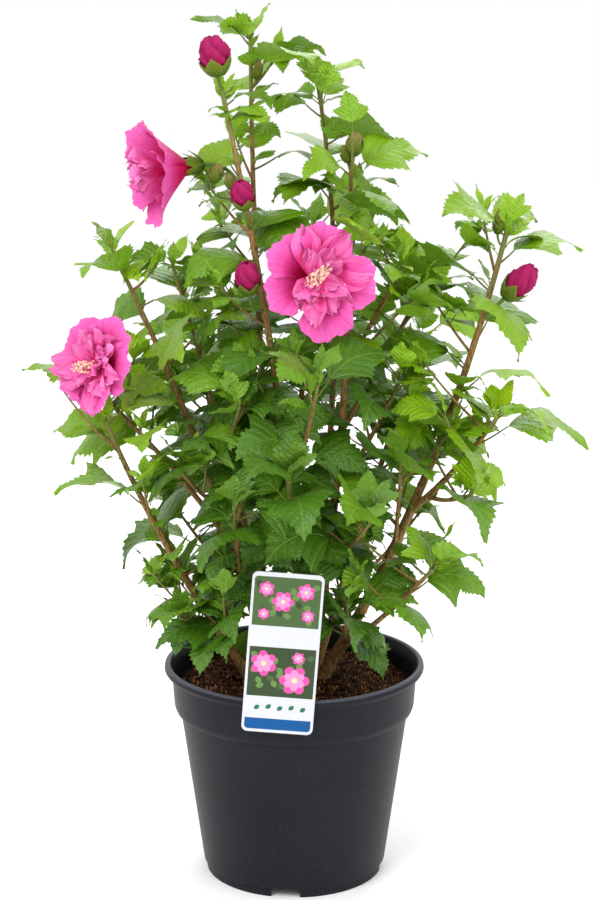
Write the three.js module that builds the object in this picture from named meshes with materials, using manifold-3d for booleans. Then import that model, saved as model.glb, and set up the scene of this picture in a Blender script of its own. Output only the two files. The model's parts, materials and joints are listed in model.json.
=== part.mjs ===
// Rose of Sharon, a hibiscus shrub with double pink flowers, in a five-litre nursery pot.
// Millimetres, +Z up, the front towards -Y. The origin is the centre of the pot's underside.
//
// The shrub is a clump of stems from one short stock. Each stem is bare low down and leafy above:
// the bare part is a limb, and the leafy part a mass of foliage of its own. Boughs and side shoots
// start on a stem at a named height. One seeded rule sets the leaves of every mass, from its tip down.

import * as THREE from 'three';
import { mergeVertices } from 'three/addons/utils/BufferGeometryUtils.js';
import Module from 'manifold-3d';

const wasm = await Module();
wasm.setup();

// ---------------------------------------------------------------- driving dimensions

const CLEAR = 0.3;                 // gap between neighbouring solids
const GROUND = 172;                // height of the compost round the stems
const BELOW = 7;                   // a stem's route starts this far under the ground, and is cut there
const POT = {
  height: 187.3, wall: 1.8, facets: 32,
  foot: { radius: 77, height: 7.5 }, step: 79.5, shoulder: { radius: 98.6, z: 143.5 },
  collar: { radius: 104, z: 149.5, top: 106, topZ: 178 }, lip: { radius: 112.5, z: 180.5, inner: 107 },
  shelf: 1,                        // the collar's foot lies this much higher inside than outside
  floor: { z: 8, thickness: 2.4 }, pad: 13,
  notch: { count: 4, width: 25, height: 7.5, first: -95.5 },
  drain: { radius: 5, ring: 56 },
};
const COMPOST = { flat: 42, edge: 166, facets: 32 };
const LABEL = {
  width: 58.5, height: 136, thick: 0.9, corner: 5, centre: [-9, -113.6, 229.4], tilt: 4.4,
  tongue: { width: 18, back: -101.2, thick: 0.8, low: 174 },
};
const STOCK = { centre: [-4, 0], base: 24, neck: 15, height: 46, lobes: 5, lobing: 0.1, sides: 15 };
const LIMB = { sides: 6, steps: 5, flare: 0.45, flareHeight: 9 };
const TWIG = { sides: 3, steps: 4 };
const SHOOT = { thick: 2.1, thin: 1.2, leafyFrom: 0.25, sag: 0.12 };
const SIDE_TWIG = {
  every: 3, gap: 0.6, turn: 70, thick: 1.5, thin: 1, leafyFrom: 0.35,
  reach: 0.5, rise: 0.7, leaf: 0.8, // of the mass's full leaf, of the reach, of the full leaf
};
const STALK = { bloom: 1.7, bud: 1.6, sides: 5, pull: 0.6 };
const LEAF = {
  golden: 137.5,                   // turn from one leaf to the next, in degrees
  halfWidth: 0.4, widestAt: 0.42,  // of the blade's length
  stalk: 1.1, keel: 1.3,           // half width of the leaf stalk, depth of the blade's keel
  youngNodes: 3,                   // the leaves nearest the tip are young: small and upright
  lean: 50, leanFrom: 60,          // most that a blade rolls outwards, and the radius where it does
  shared: 4,                       // cubic millimetres that two leaves of a mass may share at their feet
};

// Stems: where each leaves the ground, the knee that its curve bends towards, its tip, its radius
// at the ground and at the tip, and the height at which its leaves begin.
const STEMS = {
  left_low: {
    foot: [-33, -5], knee: [-115, -34, 298], tip: [-154, -60, 412],
    girth: [4.3, 1.8], leafy: 262,
  },
  left: { foot: [-18, -8], knee: [-70, -8, 379], tip: [-149, -20, 545], girth: [3.9, 1.7], leafy: 350 },
  left_back: {
    foot: [-12, 14], knee: [-57, 45, 370], tip: [-105, 60, 524],
    girth: [3.1, 1.6], leafy: 380,
  },
  flowering: {
    foot: [10, -22], knee: [0, -54, 417], tip: [-58, -35, 678],
    girth: [4.2, 1.9], leafy: 400,
  },
  tall: { foot: [-2, 10], knee: [-35, 20, 426], tip: [-36, 30, 716], girth: [3.5, 1.6], leafy: 440 },
  mid_back: { foot: [6, 18], knee: [56, 58, 470], tip: [20, 70, 676], girth: [3.3, 1.6], leafy: 430 },
  centre: { foot: [14, -6], knee: [50, -37, 415], tip: [47, 0, 622], girth: [3.9, 1.8], leafy: 420 },
  right: { foot: [20, 0], knee: [122, -12, 335], tip: [176, -10, 562], girth: [5.4, 2.0], leafy: 345 },
  back_left: {
    foot: [-18, 20], knee: [-62, 100, 300], tip: [-88, 158, 440],
    girth: [3.6, 1.7], leafy: 300,
  },
  back: { foot: [0, 26], knee: [0, 92, 340], tip: [16, 150, 545], girth: [3.8, 1.7], leafy: 350 },
  back_right: {
    foot: [16, 16], knee: [66, 92, 300], tip: [116, 156, 446],
    girth: [3.7, 1.7], leafy: 310,
  },
};

// Boughs: the stem that each forks from, at what height, and then as for a stem.
const BOUGHS = {
  left_fork: {
    from: 'left', height: 292, knee: [-98, -18, 364], tip: [-168, -26, 434],
    girth: [2.7, 1.6], leafy: 368,
  },
  right_fork: {
    from: 'right', height: 322, knee: [138, -30, 362], tip: [167, -50, 412],
    girth: [3.1, 1.8], leafy: 366,
  },
  right_low: {
    from: 'right', height: 195, knee: [72, -40, 232], tip: [114, -86, 293],
    girth: [2.8, 1.7], leafy: 240,
  },
  centre_high: {
    from: 'centre', height: 449, knee: [68, 4, 484], tip: [92, 20, 532],
    girth: [2.2, 1.5], leafy: 492,
  },
  centre_fork: {
    from: 'centre', height: 394, knee: [76, 16, 444], tip: [113, 50, 512],
    girth: [2.5, 1.6], leafy: 460,
  },
};

// Masses of foliage. The first group goes on from a stem or bough to its tip; the second is side
// shoots with a start height and a tip. nodes is the number of leaf nodes, leaf the length of a full
// blade, and face the compass angle of the tip leaf, in degrees from +X. top is how many node gaps
// lie above the first leaf, and fan the number of small leaves at the tip, where a bud ends the shoot.
const LEADERS = {
  left_low: { nodes: 8, leaf: 66, face: 0, seed: 3941 },
  left: { nodes: 9, leaf: 57, face: 90, seed: 2477 },
  left_back: { nodes: 8, leaf: 55, face: 205, seed: 953 },
  flowering: { nodes: 11, leaf: 59, face: 225, seed: 8733, top: 0.8, fan: 0 },
  tall: { nodes: 11, leaf: 64, face: 180, seed: 226 },
  mid_back: { nodes: 10, leaf: 62, face: 45, seed: 7381 },
  centre: { nodes: 9, leaf: 71, face: 25, seed: 9959, top: 0.6, fan: 0 },
  right: { nodes: 10, leaf: 66, face: -135, seed: 1133 },
  back_left: { nodes: 9, leaf: 69, face: 185, seed: 2055 },
  back: { nodes: 10, leaf: 64, face: 0, seed: 9517 },
  back_right: { nodes: 9, leaf: 64, face: -5, seed: 3741 },
  left_fork: { nodes: 6, leaf: 68, face: 180, seed: 9154 },
  right_fork: { nodes: 6, leaf: 68, face: -45, seed: 3025 },
  right_low: { nodes: 6, leaf: 64, face: -55, seed: 9498 },
  centre_high: { nodes: 5, leaf: 55, face: 30, seed: 1920 },
  centre_fork: { nodes: 6, leaf: 64, face: 125, seed: 2770 },
};
const SIDE_SHOOTS = {
  low_left: {
    from: 'left_low', height: 226, tip: [-96, -48, 240],
    nodes: 5, leaf: 55, face: 245, seed: 3472,
  },
  front_low_left: {
    from: 'left_low', height: 200, tip: [-58, -84, 268],
    nodes: 6, leaf: 64, face: 230, seed: 3947,
  },
  front_left: {
    from: 'left', height: 262, tip: [-48, -112, 352],
    nodes: 7, leaf: 67, face: 205, seed: 3891,
  },
  inner_left: {
    from: 'left', height: 330, tip: [-92, -70, 372],
    nodes: 6, leaf: 61, face: -15, seed: 8403,
  },
  centre_left: {
    from: 'left', height: 345, tip: [-44, -84, 428],
    nodes: 6, leaf: 62, face: 170, seed: 6069,
  },
  front_centre: {
    from: 'flowering', height: 300, tip: [-4, -132, 378],
    nodes: 7, leaf: 69, face: 225, seed: 3363,
  },
  front_high: {
    from: 'flowering', height: 345, tip: [20, -112, 456],
    nodes: 7, leaf: 61, face: 240, seed: 9092,
  },
  front_right: {
    from: 'centre', height: 285, tip: [62, -112, 340],
    nodes: 7, leaf: 66, face: 245, seed: 8534,
  },
  centre_right: {
    from: 'centre', height: 345, tip: [90, -40, 446],
    nodes: 7, leaf: 56, face: 195, seed: 1540,
  },
  inner_right: {
    from: 'right', height: 292, tip: [88, -66, 380],
    nodes: 6, leaf: 61, face: 165, seed: 8311,
  },
  front_low_right: {
    from: 'right', height: 205, tip: [44, -82, 262],
    nodes: 6, leaf: 55, face: 235, seed: 272,
  },
  right_tip: {
    from: 'right_fork', height: 337, tip: [146, -76, 354],
    nodes: 4, leaf: 59, face: -110, seed: 2153,
  },
  back_low_left: {
    from: 'back_left', height: 232, tip: [-104, 82, 300],
    nodes: 6, leaf: 64, face: 115, seed: 2410,
  },
  back_low: { from: 'back', height: 240, tip: [-6, 142, 300], nodes: 6, leaf: 59, face: 0, seed: 4564 },
  back_low_right: {
    from: 'back_right', height: 232, tip: [112, 84, 298],
    nodes: 6, leaf: 62, face: -70, seed: 2885,
  },
};

// Open flowers: the middle of the corolla, the way it looks, its radius, how deep its funnel is,
// and the stem and height that its stalk comes from.
const BLOOMS = {
  bloom_high: {
    from: 'flowering', height: 588, centre: [-112, -42, 612],
    looks: [-0.82, -0.5, -0.1], radius: 41, depth: 44,
  },
  bloom_front: {
    from: 'centre', height: 500, centre: [16, -84, 531],
    looks: [-0.02, -0.97, 0.16], radius: 50, depth: 30,
  },
  bloom_left: {
    from: 'left_fork', height: 418, centre: [-163, -76, 462],
    looks: [-0.66, -0.7, 0.28], radius: 43, depth: 34,
  },
  bloom_back: {
    from: 'back', height: 455, centre: [34, 184, 486],
    looks: [0.3, 0.92, 0.16], radius: 43, depth: 32,
  },
};

// Buds: foot and top of the bud, its radius, and where its stalk starts.
const BUDS = {
  bud_top: { from: 'flowering', height: 668, foot: [-60, -36, 684], top: [-66, -39, 722], radius: 15 },
  bud_middle: { from: 'flowering', height: 566, foot: [-42, -56, 580], top: [-46, -64, 610], radius: 12 },
  bud_low: { from: 'flowering', height: 500, foot: [-36, -62, 513], top: [-38, -72, 545], radius: 12 },
  bud_right: { from: 'right', height: 492, foot: [170, -22, 503], top: [199, -28, 535], radius: 13 },
  bud_centre: { from: 'centre', height: 612, foot: [49, -8, 624], top: [51, -12, 650], radius: 9 },
};

const COLOURS = {
  pot: 0x34353a, compost: 0x3a2317, label: 0xe9ebea, bark: 0x7b5c41,
  leaf: 0x3e7424, petal: 0xe4469f, bud: 0xb81e63,
};

// ---------------------------------------------------------------- solids

const vector = (p) => new THREE.Vector3(...p);
const turn = THREE.MathUtils.degToRad;

function solid(points, faces) {
  const vertProperties = new Float32Array(points.flatMap((p) => [p.x, p.y, p.z]));
  const triVerts = new Uint32Array(faces.flat());
  return new wasm.Manifold(new wasm.Mesh({ numProp: 3, vertProperties, triVerts }));
}

function solidOf(geometry) {
  geometry.deleteAttribute('normal');
  geometry.deleteAttribute('uv');
  const merged = mergeVertices(geometry, 1e-4);
  const { array } = merged.attributes.position;
  return new wasm.Manifold(new wasm.Mesh({
    numProp: 3, vertProperties: new Float32Array(array), triVerts: new Uint32Array(merged.index.array),
  }));
}

function biggest(shape) {
  const bodies = shape.decompose();
  return bodies.reduce((best, body) => (body.volume() > best.volume() ? body : best));
}

// Rings of the same number of points joined into a skin, and closed at both ends: by a point where
// one is given, otherwise by a flat face.
function skin(rings, start, end) {
  const points = rings.flat();
  const sides = rings[0].length;
  const faces = [];
  for (let ring = 0; ring + 1 < rings.length; ring += 1) {
    for (let side = 0; side < sides; side += 1) {
      const next = (side + 1) % sides;
      const [a, b] = [ring * sides + side, ring * sides + next];
      faces.push([a, b, b + sides], [a, b + sides, a + sides]);
    }
  }
  const last = points.length - sides;
  if (start) points.push(start);
  const startPoint = points.length - 1;
  if (end) points.push(end);
  const endPoint = points.length - 1;
  for (let side = 0; side < sides; side += 1) {
    const next = (side + 1) % sides;
    if (start) faces.push([startPoint, next, side]);
    else if (side > 1) faces.push([0, side, side - 1]);
    if (end) faces.push([endPoint, last + side, last + next]);
    else if (side > 1) faces.push([last, last + side - 1, last + side]);
  }
  return solid(points, faces);
}

// A round limb along part of a curve.
function sweep(curve, from, to, radiusAt, sides, steps, grow = 0) {
  const frames = curve.computeFrenetFrames(24, false);
  const rings = [];
  for (let step = 0; step <= steps; step += 1) {
    const share = from + ((to - from) * step) / steps;
    const frame = Math.round(share * 24);
    const tangent = curve.getTangent(share);
    const across = frames.normals[frame].clone().projectOnPlane(tangent).normalize();
    const other = new THREE.Vector3().crossVectors(tangent, across);
    const radius = radiusAt(share) + grow;
    rings.push(Array.from({ length: sides }, (_, side) => {
      const angle = (2 * Math.PI * side) / sides;
      return curve.getPoint(share).addScaledVector(across, radius * Math.cos(angle))
        .addScaledVector(other, radius * Math.sin(angle));
    }));
  }
  return skin(rings);
}

// A round form about the +Z axis from [height, radius, ruffle] rows, placed at a point and turned
// to look along a direction. A ruffle makes the ring wave in and out and up and down.
function turned(rows, sides, place, looks) {
  const [up, ahead] = [new THREE.Vector3(0, 0, 1), vector(looks).normalize()];
  const turnTo = new THREE.Quaternion().setFromUnitVectors(up, ahead);
  const put = (p) => p.applyQuaternion(turnTo).add(vector(place));
  const rings = rows.slice(1, -1).map(([height, radius, ruffle = 0]) => (
    Array.from({ length: sides }, (_, side) => {
      const angle = (2 * Math.PI * side) / sides;
      const wave = side % 2 ? -ruffle : ruffle;
      const reach = radius * (1 + wave);
      const [x, y] = [reach * Math.cos(angle), reach * Math.sin(angle)];
      return put(new THREE.Vector3(x, y, height + radius * wave));
    })));
  const pole = (row) => put(new THREE.Vector3(0, 0, row[0]));
  return skin(rings, pole(rows[0]), pole(rows[rows.length - 1]));
}

function makeRandom(seed) {
  let state = Math.imul(seed, 2654435761) >>> 0;
  return () => {
    state = (Math.imul(state, 1664525) + 1013904223) >>> 0;
    return state / 4294967296;
  };
}

// ---------------------------------------------------------------- pot, compost and label

function lathe(rows, facets) {
  const outline = rows.map(([radius, z]) => new THREE.Vector2(radius, z));
  const geometry = new THREE.LatheGeometry(outline, facets);
  geometry.rotateX(Math.PI / 2);
  return solidOf(geometry);
}

function pot() {
  const { foot, shoulder, collar, lip, floor, wall, notch, drain } = POT;
  const top = POT.height;
  const body = lathe([
    [0, 0], [POT.pad, 0], [POT.pad + 3, floor.z], [foot.radius - wall, floor.z], [foot.radius - wall, 0],
    [foot.radius, 0], [foot.radius + 0.6, foot.height], [POT.step, foot.height + 1],
    [shoulder.radius, shoulder.z], [collar.radius - 1.6, shoulder.z + 2], [collar.radius, collar.z],
    [collar.top, collar.topZ], [lip.radius - 0.6, lip.z], [lip.radius, lip.z + 2],
    [lip.radius - 0.8, top - 0.9], [lip.radius - 2.4, top], [lip.inner, top - 0.8],
    [collar.top - wall, collar.topZ], [collar.radius - wall, collar.z],
    [shoulder.radius - wall, shoulder.z + POT.shelf],
    [POT.step - wall - 0.6, floor.z + floor.thickness], [0, floor.z + floor.thickness],
  ], POT.facets);
  const block = new THREE.BoxGeometry(30, notch.width, 2 * notch.height);
  let shape = body;
  for (let side = 0; side < notch.count; side += 1) {
    const angle = turn(notch.first + (360 / notch.count) * side);
    const cut = block.clone().translate(foot.radius, 0, 0).rotateZ(angle);
    const hole = new THREE.CylinderGeometry(drain.radius, drain.radius, 4 * floor.thickness, 8);
    hole.rotateX(Math.PI / 2).translate(drain.ring, 0, floor.z + floor.thickness / 2).rotateZ(angle);
    shape = shape.subtract(solidOf(cut)).subtract(solidOf(hole));
  }
  return shape;
}

function compost() {
  const { shoulder, collar, floor, wall } = POT;
  const inside = (radius) => radius - wall - CLEAR;
  const edgeRadius = collar.radius + ((collar.top - collar.radius) * (COMPOST.edge - collar.z))
    / (collar.topZ - collar.z);
  return lathe([
    [0, floor.z + floor.thickness + CLEAR], [inside(POT.step) - 1, floor.z + floor.thickness + CLEAR],
    [inside(shoulder.radius), shoulder.z + POT.shelf + 0.2], [inside(collar.radius) - 0.2, collar.z],
    [inside(edgeRadius) - 0.2, COMPOST.edge],
    [(COMPOST.flat + edgeRadius) / 2, (COMPOST.edge + GROUND) / 2 + 0.8],
    [COMPOST.flat, GROUND], [0, GROUND],
  ], COMPOST.facets);
}

// A printed card that stands outside the rim, with a tongue that hooks over it.
function label() {
  const { width, height, thick, corner, centre, tilt, tongue } = LABEL;
  const [right, up] = [width / 2, height / 2];
  const outline = new THREE.Shape();
  outline.absarc(right - corner, up - corner, corner, 0, Math.PI / 2);
  outline.absarc(-right + corner, up - corner, corner, Math.PI / 2, Math.PI);
  outline.absarc(-right + corner, -up + corner, corner, Math.PI, 1.5 * Math.PI);
  outline.absarc(right - corner, -up + corner, corner, 1.5 * Math.PI, 2 * Math.PI);
  const form = { depth: thick, bevelEnabled: false, curveSegments: 3 };
  const card = new THREE.ExtrudeGeometry(outline, form);
  card.translate(0, 0, -thick / 2).rotateZ(turn(-tilt)).rotateX(Math.PI / 2).translate(...centre);
  const front = centre[1];
  const bridgeZ = POT.height + CLEAR;
  const bridge = new THREE.BoxGeometry(tongue.width, tongue.back - front, tongue.thick);
  bridge.translate(centre[0], (tongue.back + front) / 2, bridgeZ + tongue.thick / 2);
  const drop = bridgeZ + tongue.thick - tongue.low;
  const leg = new THREE.BoxGeometry(tongue.width, tongue.thick, drop);
  leg.translate(centre[0], tongue.back, tongue.low + drop / 2);
  return solidOf(card).add(solidOf(bridge)).add(solidOf(leg));
}

// ---------------------------------------------------------------- stock, stems and boughs

function stock() {
  const { centre, base, neck, height, lobes, lobing, sides } = STOCK;
  const floor = GROUND + CLEAR;
  const rows = [
    [0, base], [4, base * 0.95], [12, neck * 1.3], [24, neck * 1.06],
    [height - 8, neck * 0.94], [height - 2, neck * 0.62],
  ];
  const rings = rows.map(([rise, radius]) => Array.from({ length: sides }, (_, side) => {
    const angle = (2 * Math.PI * side) / sides;
    const reach = radius * (1 + lobing * Math.cos(lobes * angle) * (1 - rise / height));
    const [x, y] = [reach * Math.cos(angle), reach * Math.sin(angle)];
    return new THREE.Vector3(centre[0] + x, centre[1] + y, floor + rise);
  }));
  return skin(rings, null, new THREE.Vector3(...centre, floor + height));
}

// The share of a curve at which it reaches a height.
function shareAt(curve, height) {
  let [low, high] = [0, 1];
  for (let step = 0; step < 30; step += 1) {
    const middle = (low + high) / 2;
    if (curve.getPoint(middle).z < height) low = middle;
    else high = middle;
  }
  return low;
}

function limbOf(start, row, flared) {
  const curve = new THREE.QuadraticBezierCurve3(start, vector(row.knee), vector(row.tip));
  const [thick, thin] = row.girth;
  const radiusAt = (share) => {
    const rise = curve.getPoint(share).z - GROUND;
    const flare = flared ? LIMB.flare * Math.exp(-Math.max(0, rise) / LIMB.flareHeight) : 0;
    return (thin + (thick - thin) * (1 - share)) * (1 + flare);
  };
  return { curve, radiusAt, leafy: shareAt(curve, row.leafy) };
}

const limbs = {};
for (const [name, row] of Object.entries(STEMS)) {
  limbs[name] = limbOf(new THREE.Vector3(...row.foot, GROUND - BELOW), row, true);
}
for (const [name, row] of Object.entries(BOUGHS)) {
  const parent = limbs[row.from];
  limbs[name] = limbOf(parent.curve.getPoint(shareAt(parent.curve, row.height)), row, false);
}

// The same limb a clear gap thicker, from foot to tip, to cut its neighbours by.
function sleeve(limb) {
  const grow = CLEAR / Math.cos(Math.PI / LIMB.sides);
  return sweep(limb.curve, 0, 1, limb.radiusAt, LIMB.sides, 2 * LIMB.steps, grow);
}

// ---------------------------------------------------------------- leaves

// One leaf: a thin stalk from the twig's middle, then a blade that arches over, widest below its
// middle, with a keel under it. A small leaf has no stalk of its own. Returns its solid.
function leafSolid({ root, compass, lift, droop, stalk, length, roll, small }) {
  const out = new THREE.Vector3(Math.cos(compass), Math.sin(compass), 0);
  const up = new THREE.Vector3(0, 0, 1);
  const side = new THREE.Vector3().crossVectors(up, out);
  const base = root.clone().addScaledVector(out, stalk * Math.cos(lift));
  base.addScaledVector(up, stalk * Math.sin(lift));
  const midline = (share) => {
    const bend = length / droop;
    const angle = lift - droop * share;
    return base.clone().addScaledVector(out, bend * (Math.sin(lift) - Math.sin(angle)))
      .addScaledVector(up, bend * (Math.cos(angle) - Math.cos(lift)));
  };
  const ring = (centre, half, keel, angle) => {
    const upright = up.clone().multiplyScalar(Math.cos(angle)).addScaledVector(out, -Math.sin(angle));
    const across = side.clone().multiplyScalar(Math.cos(roll)).addScaledVector(upright, -Math.sin(roll));
    const normal = upright.multiplyScalar(Math.cos(roll)).addScaledVector(side, Math.sin(roll));
    return [
      centre.clone().addScaledVector(across, half),
      centre.clone().addScaledVector(across, -half),
      centre.clone().addScaledVector(normal, -keel),
    ];
  };
  const widest = LEAF.widestAt;
  const broad = ring(midline(widest), LEAF.halfWidth * length, LEAF.keel, lift - droop * widest);
  const rings = small ? [broad] : [ring(base, LEAF.stalk, LEAF.keel, lift), broad];
  return skin(rings, root, midline(1));
}

// A blade leans to face away from the middle of the shrub: by how much it rolls, where it stands at
// a point and grows towards a compass angle.
function outwardRoll(point, compass) {
  const away = Math.atan2(point.y - STOCK.centre[1], point.x - STOCK.centre[0]);
  const reach = Math.hypot(point.x - STOCK.centre[0], point.y - STOCK.centre[1]);
  return turn(LEAF.lean) * Math.min(1, reach / LEAF.leanFrom) * Math.sin(away - compass);
}

// The leaves of one twig, from its tip down: a full leaf at each node, and a fan of small upright
// ones at the tip. The draws from random come in a fixed order.
function leavesOf({ curve, from, nodes, leaf, face, fan, top = 0.25 }, random) {
  const leaves = [];
  for (let node = 0; node < nodes; node += 1) {
    const youth = Math.max(0, 1 - node / LEAF.youngNodes);
    const share = 1 - ((1 - from) * (node + top)) / nodes;
    const length = leaf * (1 - 0.16 * youth) * (0.84 + 0.32 * random());
    const root = curve.getPoint(share);
    const compass = turn(face + LEAF.golden * node + 30 * (random() - 0.5));
    leaves.push({
      root, compass, round: node, length, small: fan === 1,
      lift: turn(36 + 6 * youth + 24 * (random() - 0.5)),
      droop: turn(96 - 16 * youth) * (0.75 + 0.5 * random()),
      stalk: length * (0.2 + 0.2 * random()),
      roll: outwardRoll(root, compass) + turn(36 * (random() - 0.5)),
    });
  }
  for (let small = 0; small < fan; small += 1) {
    const length = leaf * (0.42 + 0.14 * random());
    leaves.push({
      root: curve.getPoint(0.995), round: 0, length, small: true,
      compass: turn(face + 60 + 150 * small + 30 * (random() - 0.5)),
      lift: turn(68 + 14 * (random() - 0.5)),
      droop: turn(24),
      stalk: length * 0.25,
      roll: turn(30 * (random() - 0.5)),
    });
  }
  return leaves;
}

// A mass: its main twig, side twigs at every third node, and all their leaves.
function plan({ curve, from, nodes, leaf, face, seed, top, fan = 2 }) {
  const random = makeRandom(seed);
  const twigs = [{ curve, leaves: leavesOf({ curve, from, nodes, leaf, face, fan, top }, random) }];
  for (let node = 1; node < nodes; node += SIDE_TWIG.every) {
    const share = 1 - ((1 - from) * (node + SIDE_TWIG.gap)) / nodes;
    const start = curve.getPoint(share);
    const around = face + LEAF.golden * node;
    const compass = turn(around + SIDE_TWIG.turn + 40 * random());
    const reach = leaf * (SIDE_TWIG.reach + 0.3 * random());
    const rise = reach * (SIDE_TWIG.rise + 0.5 * random());
    const across = new THREE.Vector3(reach * Math.cos(compass), reach * Math.sin(compass), rise);
    const tip = start.clone().add(across);
    const knee = start.clone().lerp(tip, 0.55).add(new THREE.Vector3(0, 0, -SHOOT.sag * reach));
    const twig = new THREE.QuadraticBezierCurve3(start, knee, tip);
    const leaves = leavesOf({
      curve: twig, from: SIDE_TWIG.leafyFrom, nodes: 1, fan: 1,
      leaf: SIDE_TWIG.leaf * leaf, face: around + 40,
    }, random);
    twigs.push({ curve: twig, round: node, leaves });
  }
  return twigs;
}

// ---------------------------------------------------------------- flowers and buds

function stalkCurve(start, end, looks) {
  const pull = start.distanceTo(end) * STALK.pull;
  return new THREE.QuadraticBezierCurve3(start, end.clone().addScaledVector(looks, -pull), end);
}

function startOf({ from, height }) {
  const { curve } = limbs[from];
  return curve.getPoint(shareAt(curve, height));
}

// A double flower: stamens, a mound of narrow inner petals, five broad outer petals and a calyx.
function bloom(row) {
  const { radius, depth } = row;
  const looks = vector(row.looks).normalize();
  const back = vector(row.centre).addScaledVector(looks, -depth - 10);
  const calyx = [[-depth - 12, 0], [-depth - 8, 4.5], [-depth + 2, 10]];
  const petals = [
    [-0.55 * depth, 0.3 * radius], [-0.12 * depth, 0.72 * radius, 0.04],
    [0.02 * depth, 0.97 * radius, 0.07], [2 + 0.04 * depth, 0.97 * radius, 0.07],
  ];
  const mound = [[5, 0.6 * radius], [14, 0.36 * radius, 0.12]];
  const stamens = [[26, 2.5], [28, 0]];
  const corolla = turned([...calyx, ...petals, ...mound, ...stamens], 16, row.centre, row.looks);
  const stalk = stalkCurve(startOf(row), back, looks);
  return corolla.add(sweep(stalk, 0, 1, () => STALK.bloom, STALK.sides, 4));
}

// A closed bud: furled petals standing out of a five-toothed calyx.
function bud(row) {
  const [foot, top] = [vector(row.foot), vector(row.top)];
  const looks = top.clone().sub(foot).normalize();
  const length = foot.distanceTo(top);
  const { radius } = row;
  const calyx = [
    [0, 0], [0.04 * length, 0.5 * radius], [0.2 * length, radius], [0.46 * length, 1.06 * radius],
  ];
  const petals = [[0.5 * length, 0.9 * radius], [0.78 * length, 0.8 * radius], [length, 0]];
  const form = turned([...calyx, ...petals], 7, row.foot, looks.toArray());
  const stalk = stalkCurve(startOf(row), foot.clone().addScaledVector(looks, 0.1 * length), looks);
  return form.add(sweep(stalk, 0, 1, () => STALK.bud, STALK.sides, 3));
}

// ---------------------------------------------------------------- putting the shrub together

const plant = new THREE.Group();
const placed = [];                 // every solid so far, with its box and the node that owns it

function boxOf(shape) {
  const { min, max } = shape.boundingBox();
  return new THREE.Box3(vector(min), vector(max)).expandByScalar(CLEAR);
}

function remember(shape, owner) {
  placed.push({ shape, owner, box: boxOf(shape) });
}

function meets(shape, owner) {
  const box = boxOf(shape);
  return placed.some((other) => other.owner !== owner && box.intersectsBox(other.box)
    && shape.minGap(other.shape, CLEAR) < CLEAR);
}

// Whether a leaf crosses the blade of another leaf of its own mass, not just its foot.
function crosses(leaf, parts) {
  const box = boxOf(leaf);
  return parts.slice(1).some((part) => box.intersectsBox(boxOf(part))
    && leaf.intersect(part).volume() > LEAF.shared);
}

function show(name, shape, colour, roughness) {
  const { vertProperties, triVerts } = shape.getMesh();
  const geometry = new THREE.BufferGeometry();
  geometry.setAttribute('position', new THREE.BufferAttribute(vertProperties, 3));
  geometry.setIndex(new THREE.BufferAttribute(triVerts, 1));
  geometry.computeVertexNormals();
  const material = new THREE.MeshStandardMaterial({ color: colour, roughness, metalness: 0 });
  const mesh = new THREE.Mesh(geometry, material);
  mesh.name = name;
  plant.add(mesh);
}

function set(name, shape, colour, roughness) {
  remember(shape, name);
  show(name, shape, colour, roughness);
}

set('pot', pot(), COLOURS.pot, 0.6);
const soil = compost();
set('compost', soil, COLOURS.compost, 1);
set('label', label(), COLOURS.label, 0.45);
const stockSolid = stock();
set('stock', stockSolid, COLOURS.bark, 0.85);

// What a new limb is cut by: the ground, the stock, and each limb before it.
const cutters = [
  soil.translate([0, 0, CLEAR]).add(soil),
  stockSolid.scale([1 + CLEAR / STOCK.neck, 1 + CLEAR / STOCK.neck, 1])
    .translate([-STOCK.centre[0] * (CLEAR / STOCK.neck), 0, 0]).add(stockSolid.translate([0, 0, CLEAR])),
];

function carve(shape) {
  const box = boxOf(shape);
  const near = cutters.filter((cutter) => box.intersectsBox(boxOf(cutter)));
  return near.length ? biggest(near.reduce((rest, cutter) => rest.subtract(cutter), shape)) : shape;
}

for (const [name, limb] of Object.entries(limbs)) {
  const shape = carve(sweep(limb.curve, 0, limb.leafy, limb.radiusAt, LIMB.sides, LIMB.steps));
  set(`${name in STEMS ? 'stem' : 'bough'}_${name}`, shape, COLOURS.bark, 0.85);
  cutters.push(sleeve(limb));
}

for (const [name, row] of Object.entries(BLOOMS)) set(name, carve(bloom(row)), COLOURS.petal, 0.6);
for (const [name, row] of Object.entries(BUDS)) set(name, carve(bud(row)), COLOURS.bud, 0.6);

// Every mass first gets its main twig. A leader's twig goes on from its limb's flat end.
const masses = [];
for (const [name, row] of Object.entries(LEADERS)) {
  const limb = limbs[name];
  const from = limb.leafy + CLEAR / limb.curve.getLength();
  const shape = sweep(limb.curve, from, 1, limb.radiusAt, TWIG.sides, TWIG.steps);
  const twigs = plan({ ...row, curve: limb.curve, from });
  masses.push({ name: `foliage_${name}`, parts: [shape], twigs });
}
for (const [name, row] of Object.entries(SIDE_SHOOTS)) {
  const [start, tip] = [startOf(row), vector(row.tip)];
  const sag = SHOOT.sag * start.distanceTo(tip);
  const knee = start.clone().lerp(tip, 0.5).add(new THREE.Vector3(0, 0, -sag));
  const curve = new THREE.QuadraticBezierCurve3(start, knee, tip);
  const radiusAt = (share) => SHOOT.thick + (SHOOT.thin - SHOOT.thick) * share;
  const shape = carve(sweep(curve, 0, 1, radiusAt, TWIG.sides, TWIG.steps));
  cutters.push(sleeve({ curve, radiusAt }));
  const twigs = plan({ ...row, curve, from: SHOOT.leafyFrom });
  masses.push({ name: `foliage_${name}`, parts: [shape], twigs });
}
for (const mass of masses) remember(mass.parts[0], mass.name);

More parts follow.
